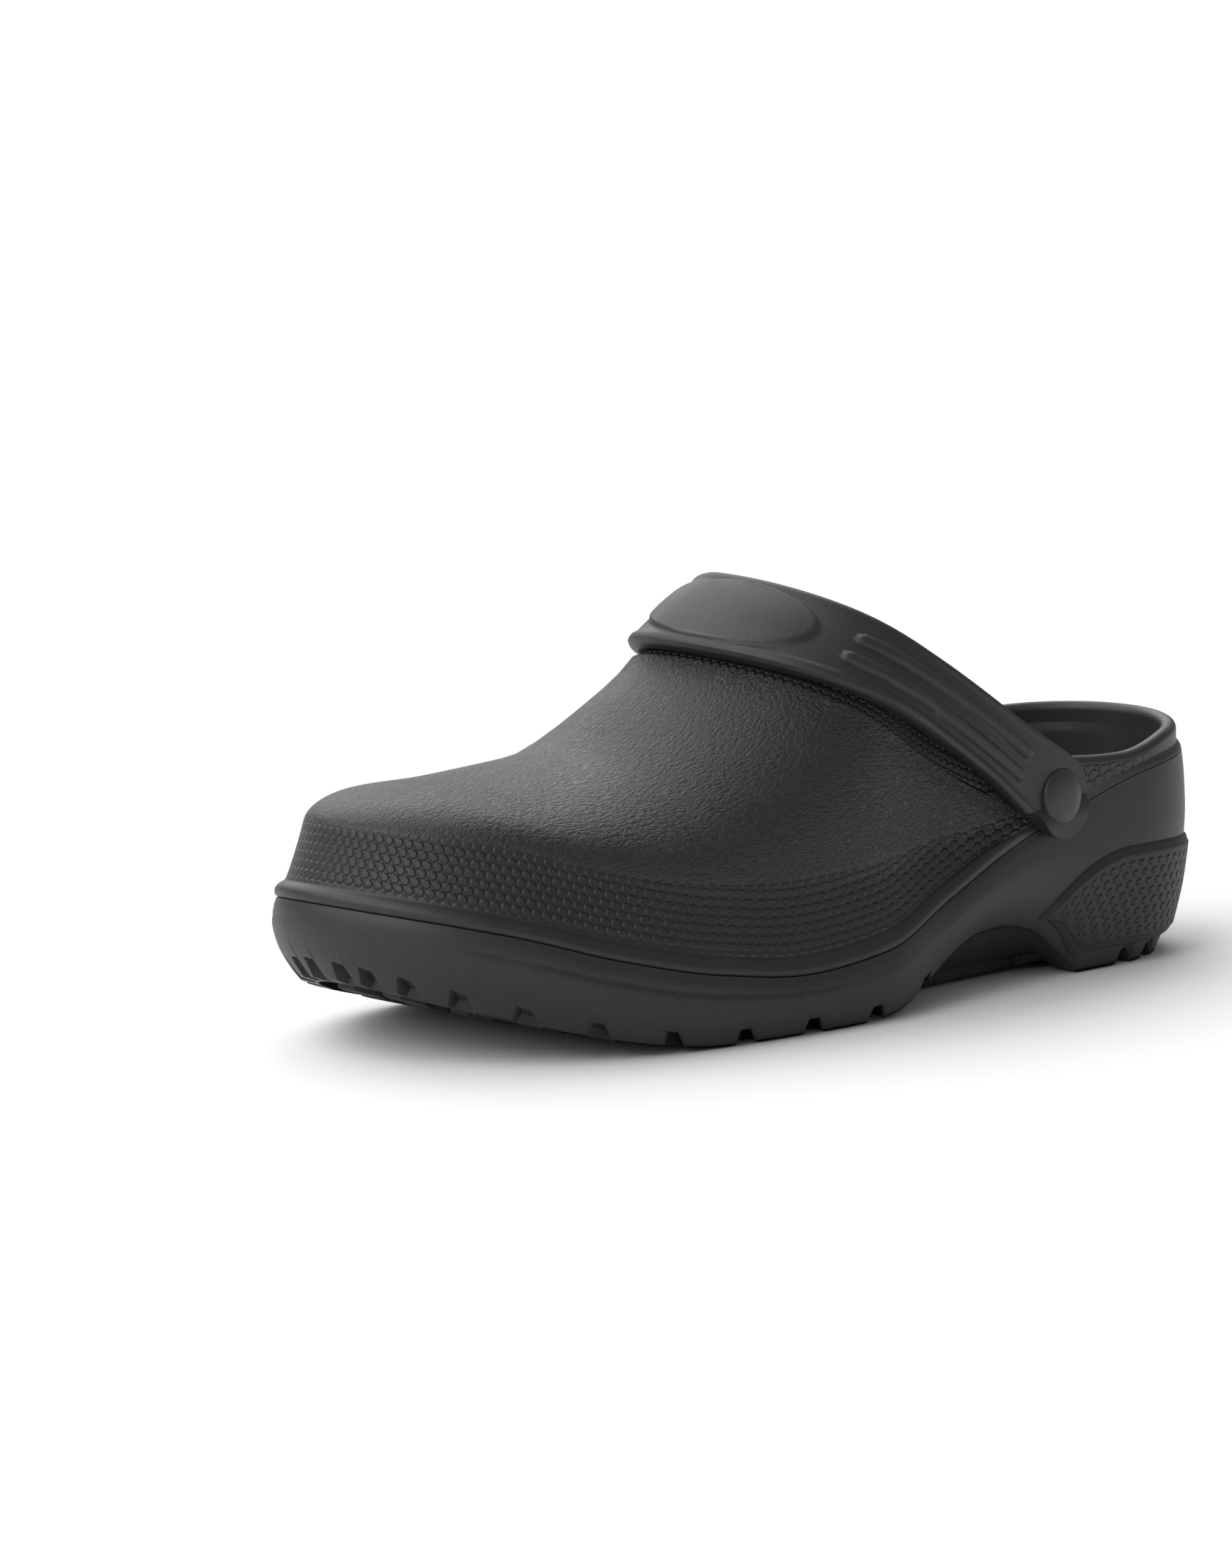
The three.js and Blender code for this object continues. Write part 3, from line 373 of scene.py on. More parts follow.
def notch_places(side):
    """Distances from the heel along the outline: eleven back from the toe, four from the heel."""
    total = along_outline(side)[1][-1]
    apart = mix(9, 24, clamp(2 * np.arange(10) / 12))
    toe = 6 + np.concatenate([[0], np.cumsum(apart)])
    heel = 26 + 13 * np.arange(4)
    return np.concatenate([total - toe, heel])


def columns():
    """Even stations, the same ones moved to notch edges, and how far a notch lifts each column."""
    s, lateral_way = along_outline(1)
    medial_way = along_outline(-1)[1]
    mean = (lateral_way + medial_way) / 2
    even = np.interp(np.linspace(0, mean[-1], HALF + 1), mean, s)
    moved, lift = [], []
    for side, way in ((1, lateral_way), (-1, medial_way)):
        edge_of = [-NOTCH_MOUTH, -NOTCH_TOP, NOTCH_TOP, NOTCH_MOUTH]
        edges = (notch_places(side)[:, None] + edge_of).ravel()
        mine = even.copy()
        nearest = np.abs(np.interp(mine, s, way)[:, None] - edges).argmin(axis=0)
        mine[nearest] = np.interp(edges, way, s)
        away = np.abs(np.interp(mine, s, way)[:, None] - notch_places(side)).min(axis=1)
        moved.append(mine)
        lift.append(NOTCH_DEPTH * clamp((NOTCH_MOUTH - away) / (NOTCH_MOUTH - NOTCH_TOP)))
    back = slice(HALF - 1, 0, -1)
    joined = [np.concatenate([pair[0], pair[1][back]]) for pair in (moved, lift)]
    return np.concatenate([even, even[back]]), joined[0], joined[1]


EVEN_S, NOTCH_S, NOTCH_LIFT = columns()


def level(out, z, snap=0.0):
    """A closed loop on the outline moved out by out(x) at height z(x)."""
    s = mix(EVEN_S, NOTCH_S, snap)
    start = -float(out(0.0))
    end = float(LENGTH + out(float(LENGTH)))
    x = station(s, start, end)
    return np.stack([x, outline_y(x, SIDE, out(x), start, end), z(x)], axis=-1)


def spine(out, z, short):
    """The centre line of a level, doubled, ending short of it, which closes a skin."""
    start = -float(out(0.0)) + short
    end = float(LENGTH + out(float(LENGTH))) - short
    x = station(EVEN_S, start, end)
    return np.stack([x, centre(x), z(x)], axis=-1)


def bead_fade(x):
    return ease(76, 112, x)


def bead_inset(x):
    return mix(-UNDERCUT * wall_draw(1.0), -0.4 * inset(x), bead_fade(x))


def bead_top(x):
    return parting(x) + mix(0.25 * (band(x) - parting(x)), BEAD_HEIGHT, bead_fade(x))


# Shares at which the rows of each part of the section lie, from the middle of the underside up.
UNDER_T = (0, 0.12, 0.2, 0.35, 0.55, 0.75, 0.9, 0.96)
WALL_T = (0, 0.015, 0.035, 0.06, 0.1, 0.16, 0.22, 0.29, 0.36, 0.44, 0.52, 0.58, 0.62)
WALL_T += (0.65, 0.675, 0.7, 0.725, 0.75, 0.79, 0.84, 0.89, 0.93, 0.96, 0.98)
PARTING_T = (-0.03, 0, 0.05)
BEAD_T = (0.1, 0.17, 0.26, 0.38, 0.5, 0.62, 0.74, 0.84, 0.91, 0.96, 1)
BAND_T = (0.02, 0.06, 0.12, 0.2, 0.3, 0.4, 0.5, 0.6, 0.7, 0.8, 0.88, 0.93)
UPPER_T = (0, 0.012, 0.024, 0.036, 0.05, 0.075, *np.linspace(0.1, 0.96, 27), 0.98, 1)
COLLAR_T = (0.02, 0.045, 0.075, 0.11, 0.16, 0.23, 0.31, 0.4, 0.5, 0.6, 0.7, 0.8, 0.88, 0.94, 1)
CUFF_T = (0.06, 0.15, 0.3, 0.45, 0.6, 0.75, 0.87, 0.95)
PARTING_ROW = 2 + len(UNDER_T) + len(WALL_T)
BAND_ROW = PARTING_ROW + len(PARTING_T) + len(BEAD_T)
UPPER_ROW = BAND_ROW + len(BAND_T)
COLLAR_ROW = UPPER_ROW + len(UPPER_T)


def under_row(t):
    """Underside of the skirt, t from the pocket of the outsole to the foot of the wall."""
    rise = np.interp(t, [0, 0.45, 0.8, 1], [0, 0.62, 0.95, 1])
    lip = np.interp(t, [0, 0.45, 0.8], [4, 1.5, 0])
    notch = np.interp(t, [0.13, 0.2, 1], [0, 0.7, 1]) * NOTCH_LIFT
    row = level(
        lambda x: mix(tread_out(x), wall_out(x, 0.0), t),
        lambda x: ground(x) + SKIRT_LIFT + rise * arch(x) + lip * arch_share(x),
        snap=clamp((t - 0.05) / 0.1),
    )
    row[:, 2] += notch
    return row


def wall_row(f):
    """Side wall, f from the foot edge to the parting line, with a soft crease round the toe."""
    s = mix(EVEN_S, NOTCH_S, 1 - ease(0.2, 0.9, f))
    near = station(s, 0, LENGTH)
    share = f + (1 - f) * NOTCH_LIFT / (parting(near) - foot_edge(near))
    start = -wall_out(0.0, share)
    end = LENGTH + wall_out(float(LENGTH), share)
    x = station(s, start, end)
    crease = 0.35 * np.exp(-(((share - 0.74) / 0.03) ** 2)) * ease(150, 225, x)
    corner = 0.8 * math.exp(-f / 0.03)
    out = wall_out(x, share) - corner - crease
    y = outline_y(x, SIDE, out, start, end)
    return np.stack([x, y, mix(foot_edge(x), parting(x), share)], axis=-1)


def bead_row(t, out):
    """Rounded bead over the parting line, which fades out towards the heel."""
    return level(
        lambda x: mix(-UNDERCUT * wall_draw(1.0), bead_inset(x), t) + out * bead_fade(x),
        lambda x: mix(parting(x), bead_top(x), t),
    )


def band_row(t):
    return level(
        lambda x: mix(bead_inset(x), -inset(x), t) - 0.5 * bead_fade(x) * (1 - ease(0.9, 1, t)),
        lambda x: mix(bead_top(x), band(x), t),
    )


def crest_share():
    """Share of each column of the upper at which it crosses the crest line."""
    low = np.full(AROUND, 0.25)
    high = np.full(AROUND, 0.95)
    under = behind_crest(shell_point(EVEN_S, SIDE, low)) > 0
    over = behind_crest(shell_point(EVEN_S, SIDE, high)) < 0
    for _ in range(20):
        middle = (low + high) / 2
        below = behind_crest(shell_point(EVEN_S, SIDE, middle)) < 0
        low = np.where(below, middle, low)
        high = np.where(below, high, middle)
    return np.where(under, 0.25, np.where(over, 0.95, low))


def unit(v):
    return v / np.maximum(np.linalg.norm(v, axis=-1, keepdims=True), 1e-12)


def pocket_z(x):
    return ground(x) + TREAD


def on_vamp(p):
    """1 in front of the rivets, where the grain is, and 0 behind them."""
    return ease(86, 96, p[:, 0])


def off_heel(p):
    return ease(30, 66, p[:, 0])


def crest_edge(p, width):
    """Height of the raised edge along the crest, a bell of a width in millimetres."""
    return 0.5 * np.exp(-((behind_crest(p) / width) ** 2)) * ease(92, 104, p[:, 0])


def body_rows():
    """Rows of the body from the middle of the underside, up outside, over the rim and down inside.

    Returns the rows and, row by row, the share of leather grain and of embossed discs.
    """
    rows, grain, discs = [], [], []

    def put(made, vamp=0.0, disc=0.0):
        rows.append(made)
        grain.append(np.broadcast_to(vamp, AROUND))
        discs.append(np.broadcast_to(disc, AROUND))

    put(spine(tread_out, pocket_z, 24))
    put(level(tread_out, pocket_z))
    for t in UNDER_T:
        put(under_row(t))
    for f in WALL_T:
        put(wall_row(f))
    for t in PARTING_T:
        put(bead_row(t, 0.1 if t > 0 else 0))
    for t in BEAD_T:
        put(bead_row(t, BEAD_OUT * math.sin(math.pi * t) ** 0.8))
    for t in BAND_T:
        put(band_row(t), disc=ease(0.02, 0.1, t) * ease(60, 100, station(EVEN_S, 0, LENGTH)))
    crest = crest_share()
    for t in UPPER_T:
        p = shell_point(EVEN_S, SIDE, t * crest)
        # A thin scored line runs along the foot of the leather grain, worn rough by the crest.
        scored = 0.16 * math.exp(-(((t - 0.024) / 0.012) ** 2)) * bead_fade(p[:, 0])
        worn = 1 + np.exp(-((behind_crest(p) / 4) ** 2))
        vamp = ease(0.03, 0.06, t) * on_vamp(p) * worn
        disc = mix(off_heel(p), 1 - ease(0, 0.05, t), on_vamp(p))
        put(p + shell_normal(p) * (crest_edge(p, 1.4) - scored)[:, None], vamp=vamp, disc=disc)
    for t in COLLAR_T:
        p = shell_point(EVEN_S, SIDE, mix(crest, 1, t))
        behind = behind_crest(p)
        facet = mix(ease(0.6, 1.4, behind) * on_vamp(p), 1, 1 - on_vamp(p))
        disc = facet * (1 - ease(0.8, 0.95, t)) * off_heel(p)
        vamp = 2 * (1 - ease(0.0, 0.8, behind)) * on_vamp(p)
        put(p + shell_normal(p) * (crest_edge(p, 0.5) - crest_drop(p))[:, None], vamp=vamp, disc=disc)
    rim = shell_point(EVEN_S, SIDE, 1.0)
    normal = shell_normal(rim)
    upward = unit(np.cross(np.roll(rim, -1, axis=0) - np.roll(rim, 1, axis=0), normal))
    drop = crest_drop(rim)[:, None]
    radius = (WALL - drop) / 2
    for turn in np.radians([12, 30, 50, 70, 90, 110, 130, 150, 168]):
        put(rim + upward * radius * np.sin(turn) - normal * (drop + radius * (1 - np.cos(turn))))
    for t in np.linspace(1, 0, 16):
        p = shell_point(EVEN_S, SIDE, t)
        put(p - shell_normal(p) * WALL)
    for t in CUFF_T:
        turned = mix(0.3 * t, 1, ease(0.5, 1, t))
        put(level(
            lambda x: mix(-inset(x) - WALL, 2 - FLOOR_EDGE, turned),
            lambda x: mix(band(x), floor_z(x) + 4, t),
        ))
    put(level(lambda x: 0 * x - FLOOR_EDGE, lambda x: floor_z(x) + 2))
    put(level(lambda x: 0 * x - FLOOR_EDGE - 1.2, lambda x: floor_z(x) + 0.6))
    put(level(lambda x: 0 * x - FLOOR_EDGE - FLOOR_FILLET, floor_z))
    put(spine(lambda x: 0 * x - FLOOR_EDGE - FLOOR_FILLET, floor_z, 18))
    rows = softened(np.array(rows))
    # The parting line of the mould is a fine groove under the bead.
    outward = unit((rows[PARTING_ROW] - rows[0]) * [1, 1, 0])
    rows[PARTING_ROW + 1] -= 0.5 * outward
    return rows, np.array(grain), np.array(discs)


def softened(rows):
    """The rows with each point drawn towards the mean of its neighbours in the rows before and
    after it: round the band line, most at the toe, and at the heel from the parting line up."""
    number = np.arange(len(rows))[:, None]
    x = rows[BAND_ROW - 3, :, 0]
    low = ease(BAND_ROW - 1, BAND_ROW + 5, number)
    toe = mix(0.12, 1, ease(205, 262, x)) * ease(100, 124, x)
    at_band = low * (1 - ease(UPPER_ROW + 6, UPPER_ROW + 16, number)) * toe
    low = ease(PARTING_ROW - 1, PARTING_ROW + 3, number)
    at_heel = low * (1 - ease(UPPER_ROW + 8, UPPER_ROW + 20, number)) * (1 - ease(70, 100, x))
    pull = (0.06 * at_band + 0.5 * at_heel)[1:-1, :, None]
    for _ in range(240):
        middle = (rows[:-2] + rows[2:]) / 2
        rows[1:-1] += pull * (middle - rows[1:-1])
    return rows


def ring_faces(rows, around, pinched=True):
    """Quads between closed rows, seen from outside. Where pinched, the two halves of the first and
    of the last row share points."""
    r, c = np.meshgrid(np.arange(rows), np.arange(around), indexing="ij")
    index = r * around + c
    if pinched:
        index[0] = np.minimum(c[0], around - c[0])
        index[-1] = (rows - 1) * around + np.minimum(c[-1], around - c[-1])
    right = np.roll(index, -1, axis=1)
    quads = np.stack([index[:-1], index[1:], right[1:], right[:-1]], axis=-1)
    return quads.reshape(-1, 4)


def add_piece(name, points, faces, finish, sharp=None):
    """A mesh object from points in millimetres and quads, in the frame of the part."""
    mesh = bpy.data.meshes.new(name)
    used, order = np.unique(faces, return_inverse=True)
    place = (points.reshape(-1, 3)[used] - MIDDLE) * 0.001
    faces = order.reshape(faces.shape)
    mesh.vertices.add(len(place))
    mesh.vertices.foreach_set("co", place.astype(np.float32).ravel())
    mesh.loops.add(faces.size)
    mesh.loops.foreach_set("vertex_index", faces.astype(np.int32).ravel())
    mesh.polygons.add(len(faces))
    mesh.polygons.foreach_set("loop_start", np.arange(0, faces.size, faces.shape[1], dtype=np.int32))
    mesh.update(calc_edges=True)
    mesh.validate()
    mesh.shade_smooth()
    if sharp:
        mesh.set_sharp_from_angle(angle=math.radians(sharp))
    piece = bpy.data.objects.new(name, mesh)
    bpy.context.collection.objects.link(piece)
    mesh.materials.append(finish.material)
    return piece, used


class Value:
    """A number on a socket. Python's operators on it add Math nodes."""

    def __init__(self, finish, socket):
        self.finish = finish
        self.socket = socket

    def math(self, operation, *inputs):
        return self.finish.node("ShaderNodeMath", {"operation": operation}, dict(enumerate(inputs)))

    def __add__(self, other):
        return self.math("ADD", self, other)

    def __sub__(self, other):
        return self.math("SUBTRACT", self, other)

    def __rsub__(self, other):
        return self.math("SUBTRACT", other, self)

    def __mul__(self, other):
        return self.math("MULTIPLY", self, other)

    def __pow__(self, other):
        return self.math("POWER", self, other)

    __radd__ = __add__
    __rmul__ = __mul__

    def least(self, other):
        return self.math("MINIMUM", self, other)

    def ease(self, low, high):
        """0 at low and 1 at high, smoothly, where low may be the larger."""
        limits = {"Value": self, "From Min": low, "From Max": high}
        return self.finish.node("ShaderNodeMapRange", {"interpolation_type": "SMOOTHSTEP"}, limits)


class Finish:
    """A material of one Principled surface, whose node() adds any other node."""

    def __init__(self, name, colour, roughness, specular=0.5):
        self.material = bpy.data.materials.new(name)
        self.material.use_nodes = True
        self.tree = self.material.node_tree
        self.surface = self.tree.nodes["Principled BSDF"].inputs
        self.surface["Base Color"].default_value = (*colour, 1)
        self.surface["Roughness"].default_value = roughness
        self.surface["Specular IOR Level"].default_value = specular

    def fill(self, socket, value):
        if isinstance(value, Value):
            self.tree.links.new(value.socket, socket)
        else:
            socket.default_value = value

    def node(self, kind, settings, inputs, output=0):
        made = self.tree.nodes.new(kind)
        for name, value in settings.items():
            setattr(made, name, value)
        for name, value in inputs.items():
            self.fill(made.inputs[name], value)
        return Value(self, made.outputs[output])

    def noise(self, size, detail=2.0, rough=0.5):
        """Noise between 0 and 1 in object space, with features of the given x, y and z sizes in mm."""
        place = self.node("ShaderNodeTexCoord", {}, {}, "Object")
        scale = [1000 / length for length in size]
        turned = self.node("ShaderNodeMapping", {}, {"Vector": place, "Scale": scale})
        wanted = {"Vector": turned, "Scale": 1.0, "Detail": detail, "Roughness": rough}
        return self.node("ShaderNodeTexNoise", {}, wanted)

    def cells(self, size, feature="F1"):
        """Distance to the nearest cell centre, or to the border, of irregular cells in object space."""
        place = self.node("ShaderNodeTexCoord", {}, {}, "Object")
        scale = [1000 / length for length in size]
        turned = self.node("ShaderNodeMapping", {}, {"Vector": place, "Scale": scale})
        return self.node("ShaderNodeTexVoronoi", {"feature": feature}, {"Vector": turned, "Scale": 1.0})

    def hexagonal(self, name, pitch):
        """Distance to the nearest point of a hexagonal lattice on a UV map in mm, over the pitch."""
        uv = self.node("ShaderNodeUVMap", {"uv_map": name}, {})
        along = self.node("ShaderNodeSeparateXYZ", {}, {0: uv}, 0) * (1 / pitch)
        up = self.node("ShaderNodeSeparateXYZ", {}, {0: uv}, 1) * (1 / (pitch * math.sqrt(3)))
        nearest = []
        for shift in (0.0, 0.5):
            a = (along + shift).math("FRACT", along + shift) - 0.5
            b = ((up + shift).math("FRACT", up + shift) - 0.5) * math.sqrt(3)
            nearest.append((a * a + b * b) ** 0.5)
        return nearest[0].least(nearest[1])

    def share(self, name):
        return self.node("ShaderNodeAttribute", {"attribute_name": name}, {}, "Fac")

    def relief(self, height):
        """Bumps the surface by a height in millimetres."""
        bump = self.node("ShaderNodeBump", {}, {"Height": height * 0.001, "Distance": 1.0})
        self.fill(self.surface["Normal"], bump)

    def shade(self, amount, dark, light):
        """Base colour between two greys."""
        two = {"Factor": amount, 6: (*dark, 1), 7: (*light, 1)}
        self.fill(self.surface["Base Color"], self.node("ShaderNodeMix", {"data_type": "RGBA"}, two, 2))


FOAM_DARK = (0.011, 0.011, 0.0115)
FOAM_LIGHT = (0.0185, 0.0185, 0.0195)
foam = Finish("charcoal foam", FOAM_DARK, 0.45, 0.45)
mottle = foam.noise((9, 9, 9), 3)
wrinkle = foam.noise((1.9, 0.75, 0.9), 3, 0.6).ease(0.36, 0.64)
crease = foam.cells((2.6, 1.1, 1.3), "DISTANCE_TO_EDGE").ease(0.0, 0.2)
skin_pores = foam.noise((0.35, 0.35, 0.35), 2)
lattice = foam.hexagonal("band", 2.65)
disc_form = lattice.ease(0.5, 0.3)
vamp_share = foam.share("vamp")
disc_share = foam.share("disc")
leather = 0.16 * wrinkle + 0.08 * crease
foam.relief(vamp_share * leather + disc_share * 0.5 * disc_form + 0.012 * skin_pores)
# Painted shade: the base colour is darkened in the gaps between the embossed discs and in the valleys of
# the leather grain, where shade falls.
painted_groove_shade = disc_share * (1 - lattice.ease(0.52, 0.38)) * 0.9 + vamp_share * (1 - wrinkle) * 0.35
foam.shade(mottle - painted_groove_shade, FOAM_DARK, FOAM_LIGHT)
foam.fill(foam.surface["Roughness"], 0.45 - 0.08 * vamp_share * wrinkle + 0.06 * mottle)

body_points, grain_share, emboss_share = body_rows()
body_faces = ring_faces(len(body_points), AROUND)
clog_shell, used = add_piece("clog_shell", body_points, body_faces, foam, sharp=38)
for name, values in (("vamp", grain_share), ("disc", emboss_share)):
    layer = clog_shell.data.attributes.new(name, "FLOAT", "POINT")
    layer.data.foreach_set("value", values.ravel()[used].astype(np.float32))


def loop_length(row):
    """Distance along a closed row from its first point to each point, and to the first again."""
    step = np.linalg.norm(np.roll(row, -1, axis=0) - row, axis=1)
    return np.concatenate([[0], np.cumsum(step)])


def band_map(points):
    """Millimetres along and up the body, for each row and column, with the first column repeated.

    Both restart at the crest in front of the rivet, where rows of discs follow the collar.
    """
    up = np.zeros(points.shape[:2])
    rise = np.linalg.norm(np.diff(points, axis=0), axis=2)
    up[1:] = np.cumsum(rise, axis=0)
    up -= up[BAND_ROW]
    closed = np.concatenate([up, up[:, :1]], axis=1)
    # The discs are drawn out along the sides, where the mould's texture was stretched.
    middle = points[BAND_ROW + 8]
    step = np.diff(loop_length(middle)) / mix(1.6, 1, ease(205, 265, middle[:, 0]))
    along = np.tile(np.concatenate([[0], np.cumsum(step)]), (len(points), 1))
    ahead = ease(84, 100, points[COLLAR_ROW, :, 0])
    ahead = np.append(ahead, ahead[0])
    crest_way = loop_length(points[COLLAR_ROW + 4])
    along[COLLAR_ROW:] += (crest_way - along[0]) * ahead
    closed[COLLAR_ROW:] -= closed[COLLAR_ROW - 1] * ahead
    return along, closed


def add_map(piece, name, along, up, around):
    """A UV map in millimetres from values on rows and columns, for quads in rows."""
    r, c = np.meshgrid(np.arange(len(along) - 1), np.arange(around), indexing="ij")
    corners = [(r, c), (r + 1, c), (r + 1, c + 1), (r, c + 1)]
    values = np.stack([np.stack([along[k], up[k]], axis=-1) for k in corners], axis=2)
    layer = piece.data.uv_layers.new(name=name)
    layer.data.foreach_set("uv", values.astype(np.float32).ravel())


add_map(clog_shell, "band", *band_map(body_points), AROUND)
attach(clog_shell, "root")
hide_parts("clog_body")

# The panel round the heel
# A raised field of the same foam that wraps the back of the heel, moulded with the body. It has a
# bevelled edge all round and rows of small round dimples that follow its upper edge.
PANEL_RISE = 1.2
PANEL_SINK = 2
PANEL_BEVEL = 2.2
PANEL_PEAK = 46
PANEL_HEIGHT = 32.5
PANEL_BACK = 30
PANEL_LOW = 5.5
PANEL_FRONT = 84
PANEL_CORNER = 17
PANEL_FOOT = 70
PANEL_ACROSS = 240
PANEL_UP = np.concatenate([[0, 0.02, 0.05], np.linspace(0.1, 0.9, 17), [0.95, 0.98, 1]])


def panel_top(x):
    front = mix(PANEL_HEIGHT, PANEL_CORNER, clamp((x - PANEL_PEAK) / (PANEL_FRONT - PANEL_PEAK)) ** 2)
    back = mix(PANEL_HEIGHT, PANEL_BACK, clamp(1 - x / PANEL_PEAK) ** 2)
    return np.where(x > PANEL_PEAK, front, back)


def panel_sheet(out, grow):
    """The panel's field stood out from the wall by out and grown by grow: from one front corner
    round the heel to the other, rows from its lower edge to its upper one."""
    t = np.linspace(-1, 1, PANEL_ACROSS + 1)[None, :]
    share = PANEL_UP[:, None]
    side = np.where(t < 0, -1, 1)
    stands = float(wall_out(0.0, 0.5)) + out
    for _ in range(4):
        swing = 1 - np.cos(np.abs(t) * math.pi / 2)
        x = (mix(PANEL_FOOT, PANEL_FRONT, share) + grow + stands) * swing - stands
        z = mix(PANEL_LOW - grow, panel_top(x) + grow, share)
        up = clamp((z - foot_edge(x)) / (parting(x) - foot_edge(x)))
        stands = wall_out(x, up) + out
    y = outline_y(x, side, stands, -stands, LENGTH)
    return np.stack([x, y, z], axis=-1)


def border_of(sheet):
    """The points round a sheet, once round: lower edge, one end, upper edge, other end."""
    return np.concatenate([sheet[0, :-1], sheet[:-1, -1], sheet[-1, :0:-1], sheet[:0:-1, 0]])


def panel_mesh():
    """The face and a rolled border that goes back into the wall, with the border closed inside."""
    face = panel_sheet(PANEL_RISE, -PANEL_BEVEL)
    rows, across = face.shape[:2]
    rings = []
    for turn in (0.3, 0.6, 0.85, 1):
        angle = turn * math.pi / 2
        grow = -PANEL_BEVEL * math.cos(angle)
        out = PANEL_RISE * (1 - turn) ** 0.5 if turn < 1 else 0
        rings.append(border_of(panel_sheet(out, grow)))
    rings.append(border_of(panel_sheet(-PANEL_SINK, 0)))
    back = panel_sheet(-PANEL_SINK, 0)
    count = rows * across
    grid = np.arange(count).reshape(rows, across)
    faces = [np.stack([grid[:-1, :-1], grid[:-1, 1:], grid[1:, 1:], grid[1:, :-1]], axis=-1)]
    edge_ids = [border_of(grid[..., None])[:, 0]]
    n = len(edge_ids[0])
    for k in range(len(rings) - 1):
        edge_ids.append(count + k * n + np.arange(n))
    inner = count + (len(rings) - 1) * n + grid
    edge_ids.append(border_of(inner[..., None])[:, 0])
    points = np.concatenate([face.reshape(-1, 3), *rings[:-1], back.reshape(-1, 3)])
    for near, far in zip(edge_ids[:-1], edge_ids[1:]):
        faces.append(np.stack([near, far, np.roll(far, -1), np.roll(near, -1)], axis=-1))
    faces.append(np.stack([inner[:-1, :-1], inner[1:, :-1], inner[1:, 1:], inner[:-1, 1:]], axis=-1))
    return points, np.concatenate([part.reshape(-1, 4) for part in faces]), face


dimpled = Finish("dimpled foam", FOAM_DARK, 0.55, 0.45)
dimple = dimpled.hexagonal("field", 3.0).ease(0.38, 0.14)
pores = dimpled.noise((0.35, 0.35, 0.35), 2)
dimple_depth_and_shade = dimpled.share("field_share") * dimple
dimpled.relief(pores * 0.012 - dimple_depth_and_shade * 0.65)
# Painted shade: the base colour is darker inside the dimples, on top of their bump.
dimpled.shade(dimpled.noise((9, 9, 9), 3) - dimple_depth_and_shade, FOAM_DARK, FOAM_LIGHT)

panel_points, panel_faces, panel_face = panel_mesh()
heel_panel, used = add_piece("heel_panel", panel_points, panel_faces, dimpled, sharp=50)
along = np.zeros(panel_face.shape[:2])
along[:, 1:] = np.cumsum(np.linalg.norm(np.diff(panel_face, axis=1), axis=2), axis=1)
along = (along - along[:, PANEL_ACROSS // 2, None]) / 1.35
down = panel_top(panel_face[..., 0]) - PANEL_BEVEL - panel_face[..., 2]
inside = ease(0.6, 1.6, down) * ease(PANEL_LOW + 1.2, PANEL_LOW + 2.6, panel_face[..., 2])
share = np.zeros(len(panel_points))
share[: inside.size] = inside.ravel()
layer = heel_panel.data.attributes.new("field_share", "FLOAT", "POINT")
layer.data.foreach_set("value", share[used].astype(np.float32))
place = np.zeros((len(panel_points), 2))
place[: inside.size] = np.stack([along.ravel(), down.ravel()], axis=-1)
layer = heel_panel.data.uv_layers.new(name="field")
layer.data.foreach_set("uv", place[panel_faces].astype(np.float32).ravel())
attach(heel_panel, "root")

# The outsole
# A plate of harder black rubber let into the pocket under the foam, with hexagonal lugs under heel
# and forefoot. Its ground faces carry a fine moulded pin grip.
rubber = Finish("black rubber", (0.011, 0.011, 0.012), 0.62, 0.4)
pins = rubber.cells((1.5, 1.5, 6.0)).ease(0.42, 0.2)
rubber.relief(0.22 * pins + 0.02 * rubber.noise((0.5, 0.5, 0.5), 2))
rubber.shade(rubber.noise((6, 6, 6), 2), (0.009, 0.009, 0.01), (0.015, 0.015, 0.016))
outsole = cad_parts["outsole"]
outsole.data.materials.clear()
outsole.data.materials.append(rubber.material)

# The insole
# A loose bed of softer foam that lies on the floor of the body and turns up along its edge. Its
# top is moulded in low wavy folds, so that the foot doesn't slip.
INSOLE_THICK = 5
INSOLE_FLAT = 13
INSOLE_CUP = 8


def bed_row(inward, lift):
    """A level of the bed, whose edge climbs the wall round the heel as a cup."""
    cup = INSOLE_CUP * ease(12, 0.4, inward) * ease(1.5, 5, lift)
    return level(
        lambda x: 0.2 * cup * ease(105, 40, x) - FLOOR_EDGE - inward,
        lambda x: floor_z(x) + lift + cup * ease(105, 40, x),
    )


def bed_folds(p):
    """Low folds: a wave along the foot whose phase wanders sideways, raised in sharp crests."""
    x, y = p[..., 0], p[..., 1]
    phase = x / 3.1 + 1.9 * np.sin(y / 7.5) + 1.4 * np.sin(x / 17 + y / 11)
    return 0.9 * np.abs(np.sin(phase)) ** 1.4


def insole_rows():
    """Rows from the middle of the underside, up round the edge and over the top to its middle."""
    foot = FLOOR_FILLET + 3
    rows = [spine(lambda x: 0 * x - FLOOR_EDGE - foot, lambda x: floor_z(x) + 0.5, 18)]
    edge_path = [(foot, 0.5), (4.4, 1.0), (2.4, 2.6), (1.2, 3.9), (0.5, 5), (0.35, 5.8), (0.6, 6.4)]
    edge_path += [(1.2, 6.6), (2.0, 6.35), (3.2, 5.9), (5, 5.4), (7, 5.1), (9, 5), (11, 5)]
    edge_path += [(INSOLE_FLAT, INSOLE_THICK)]
    for inward, lift in edge_path:
        rows.append(bed_row(inward, lift))
    rim = rows[-1]
    middle = spine(lambda x: 0 * x - FLOOR_EDGE - INSOLE_FLAT, lambda x: floor_z(x) + INSOLE_THICK, 14)
    for t in np.linspace(0, 1, 45)[1:]:
        rows.append(mix(rim, middle, t))
    rows = np.array(rows)
    fade = ease(6, 11, np.arange(len(rows)))[:, None]
    rows[..., 2] += fade * bed_folds(rows)
    return rows


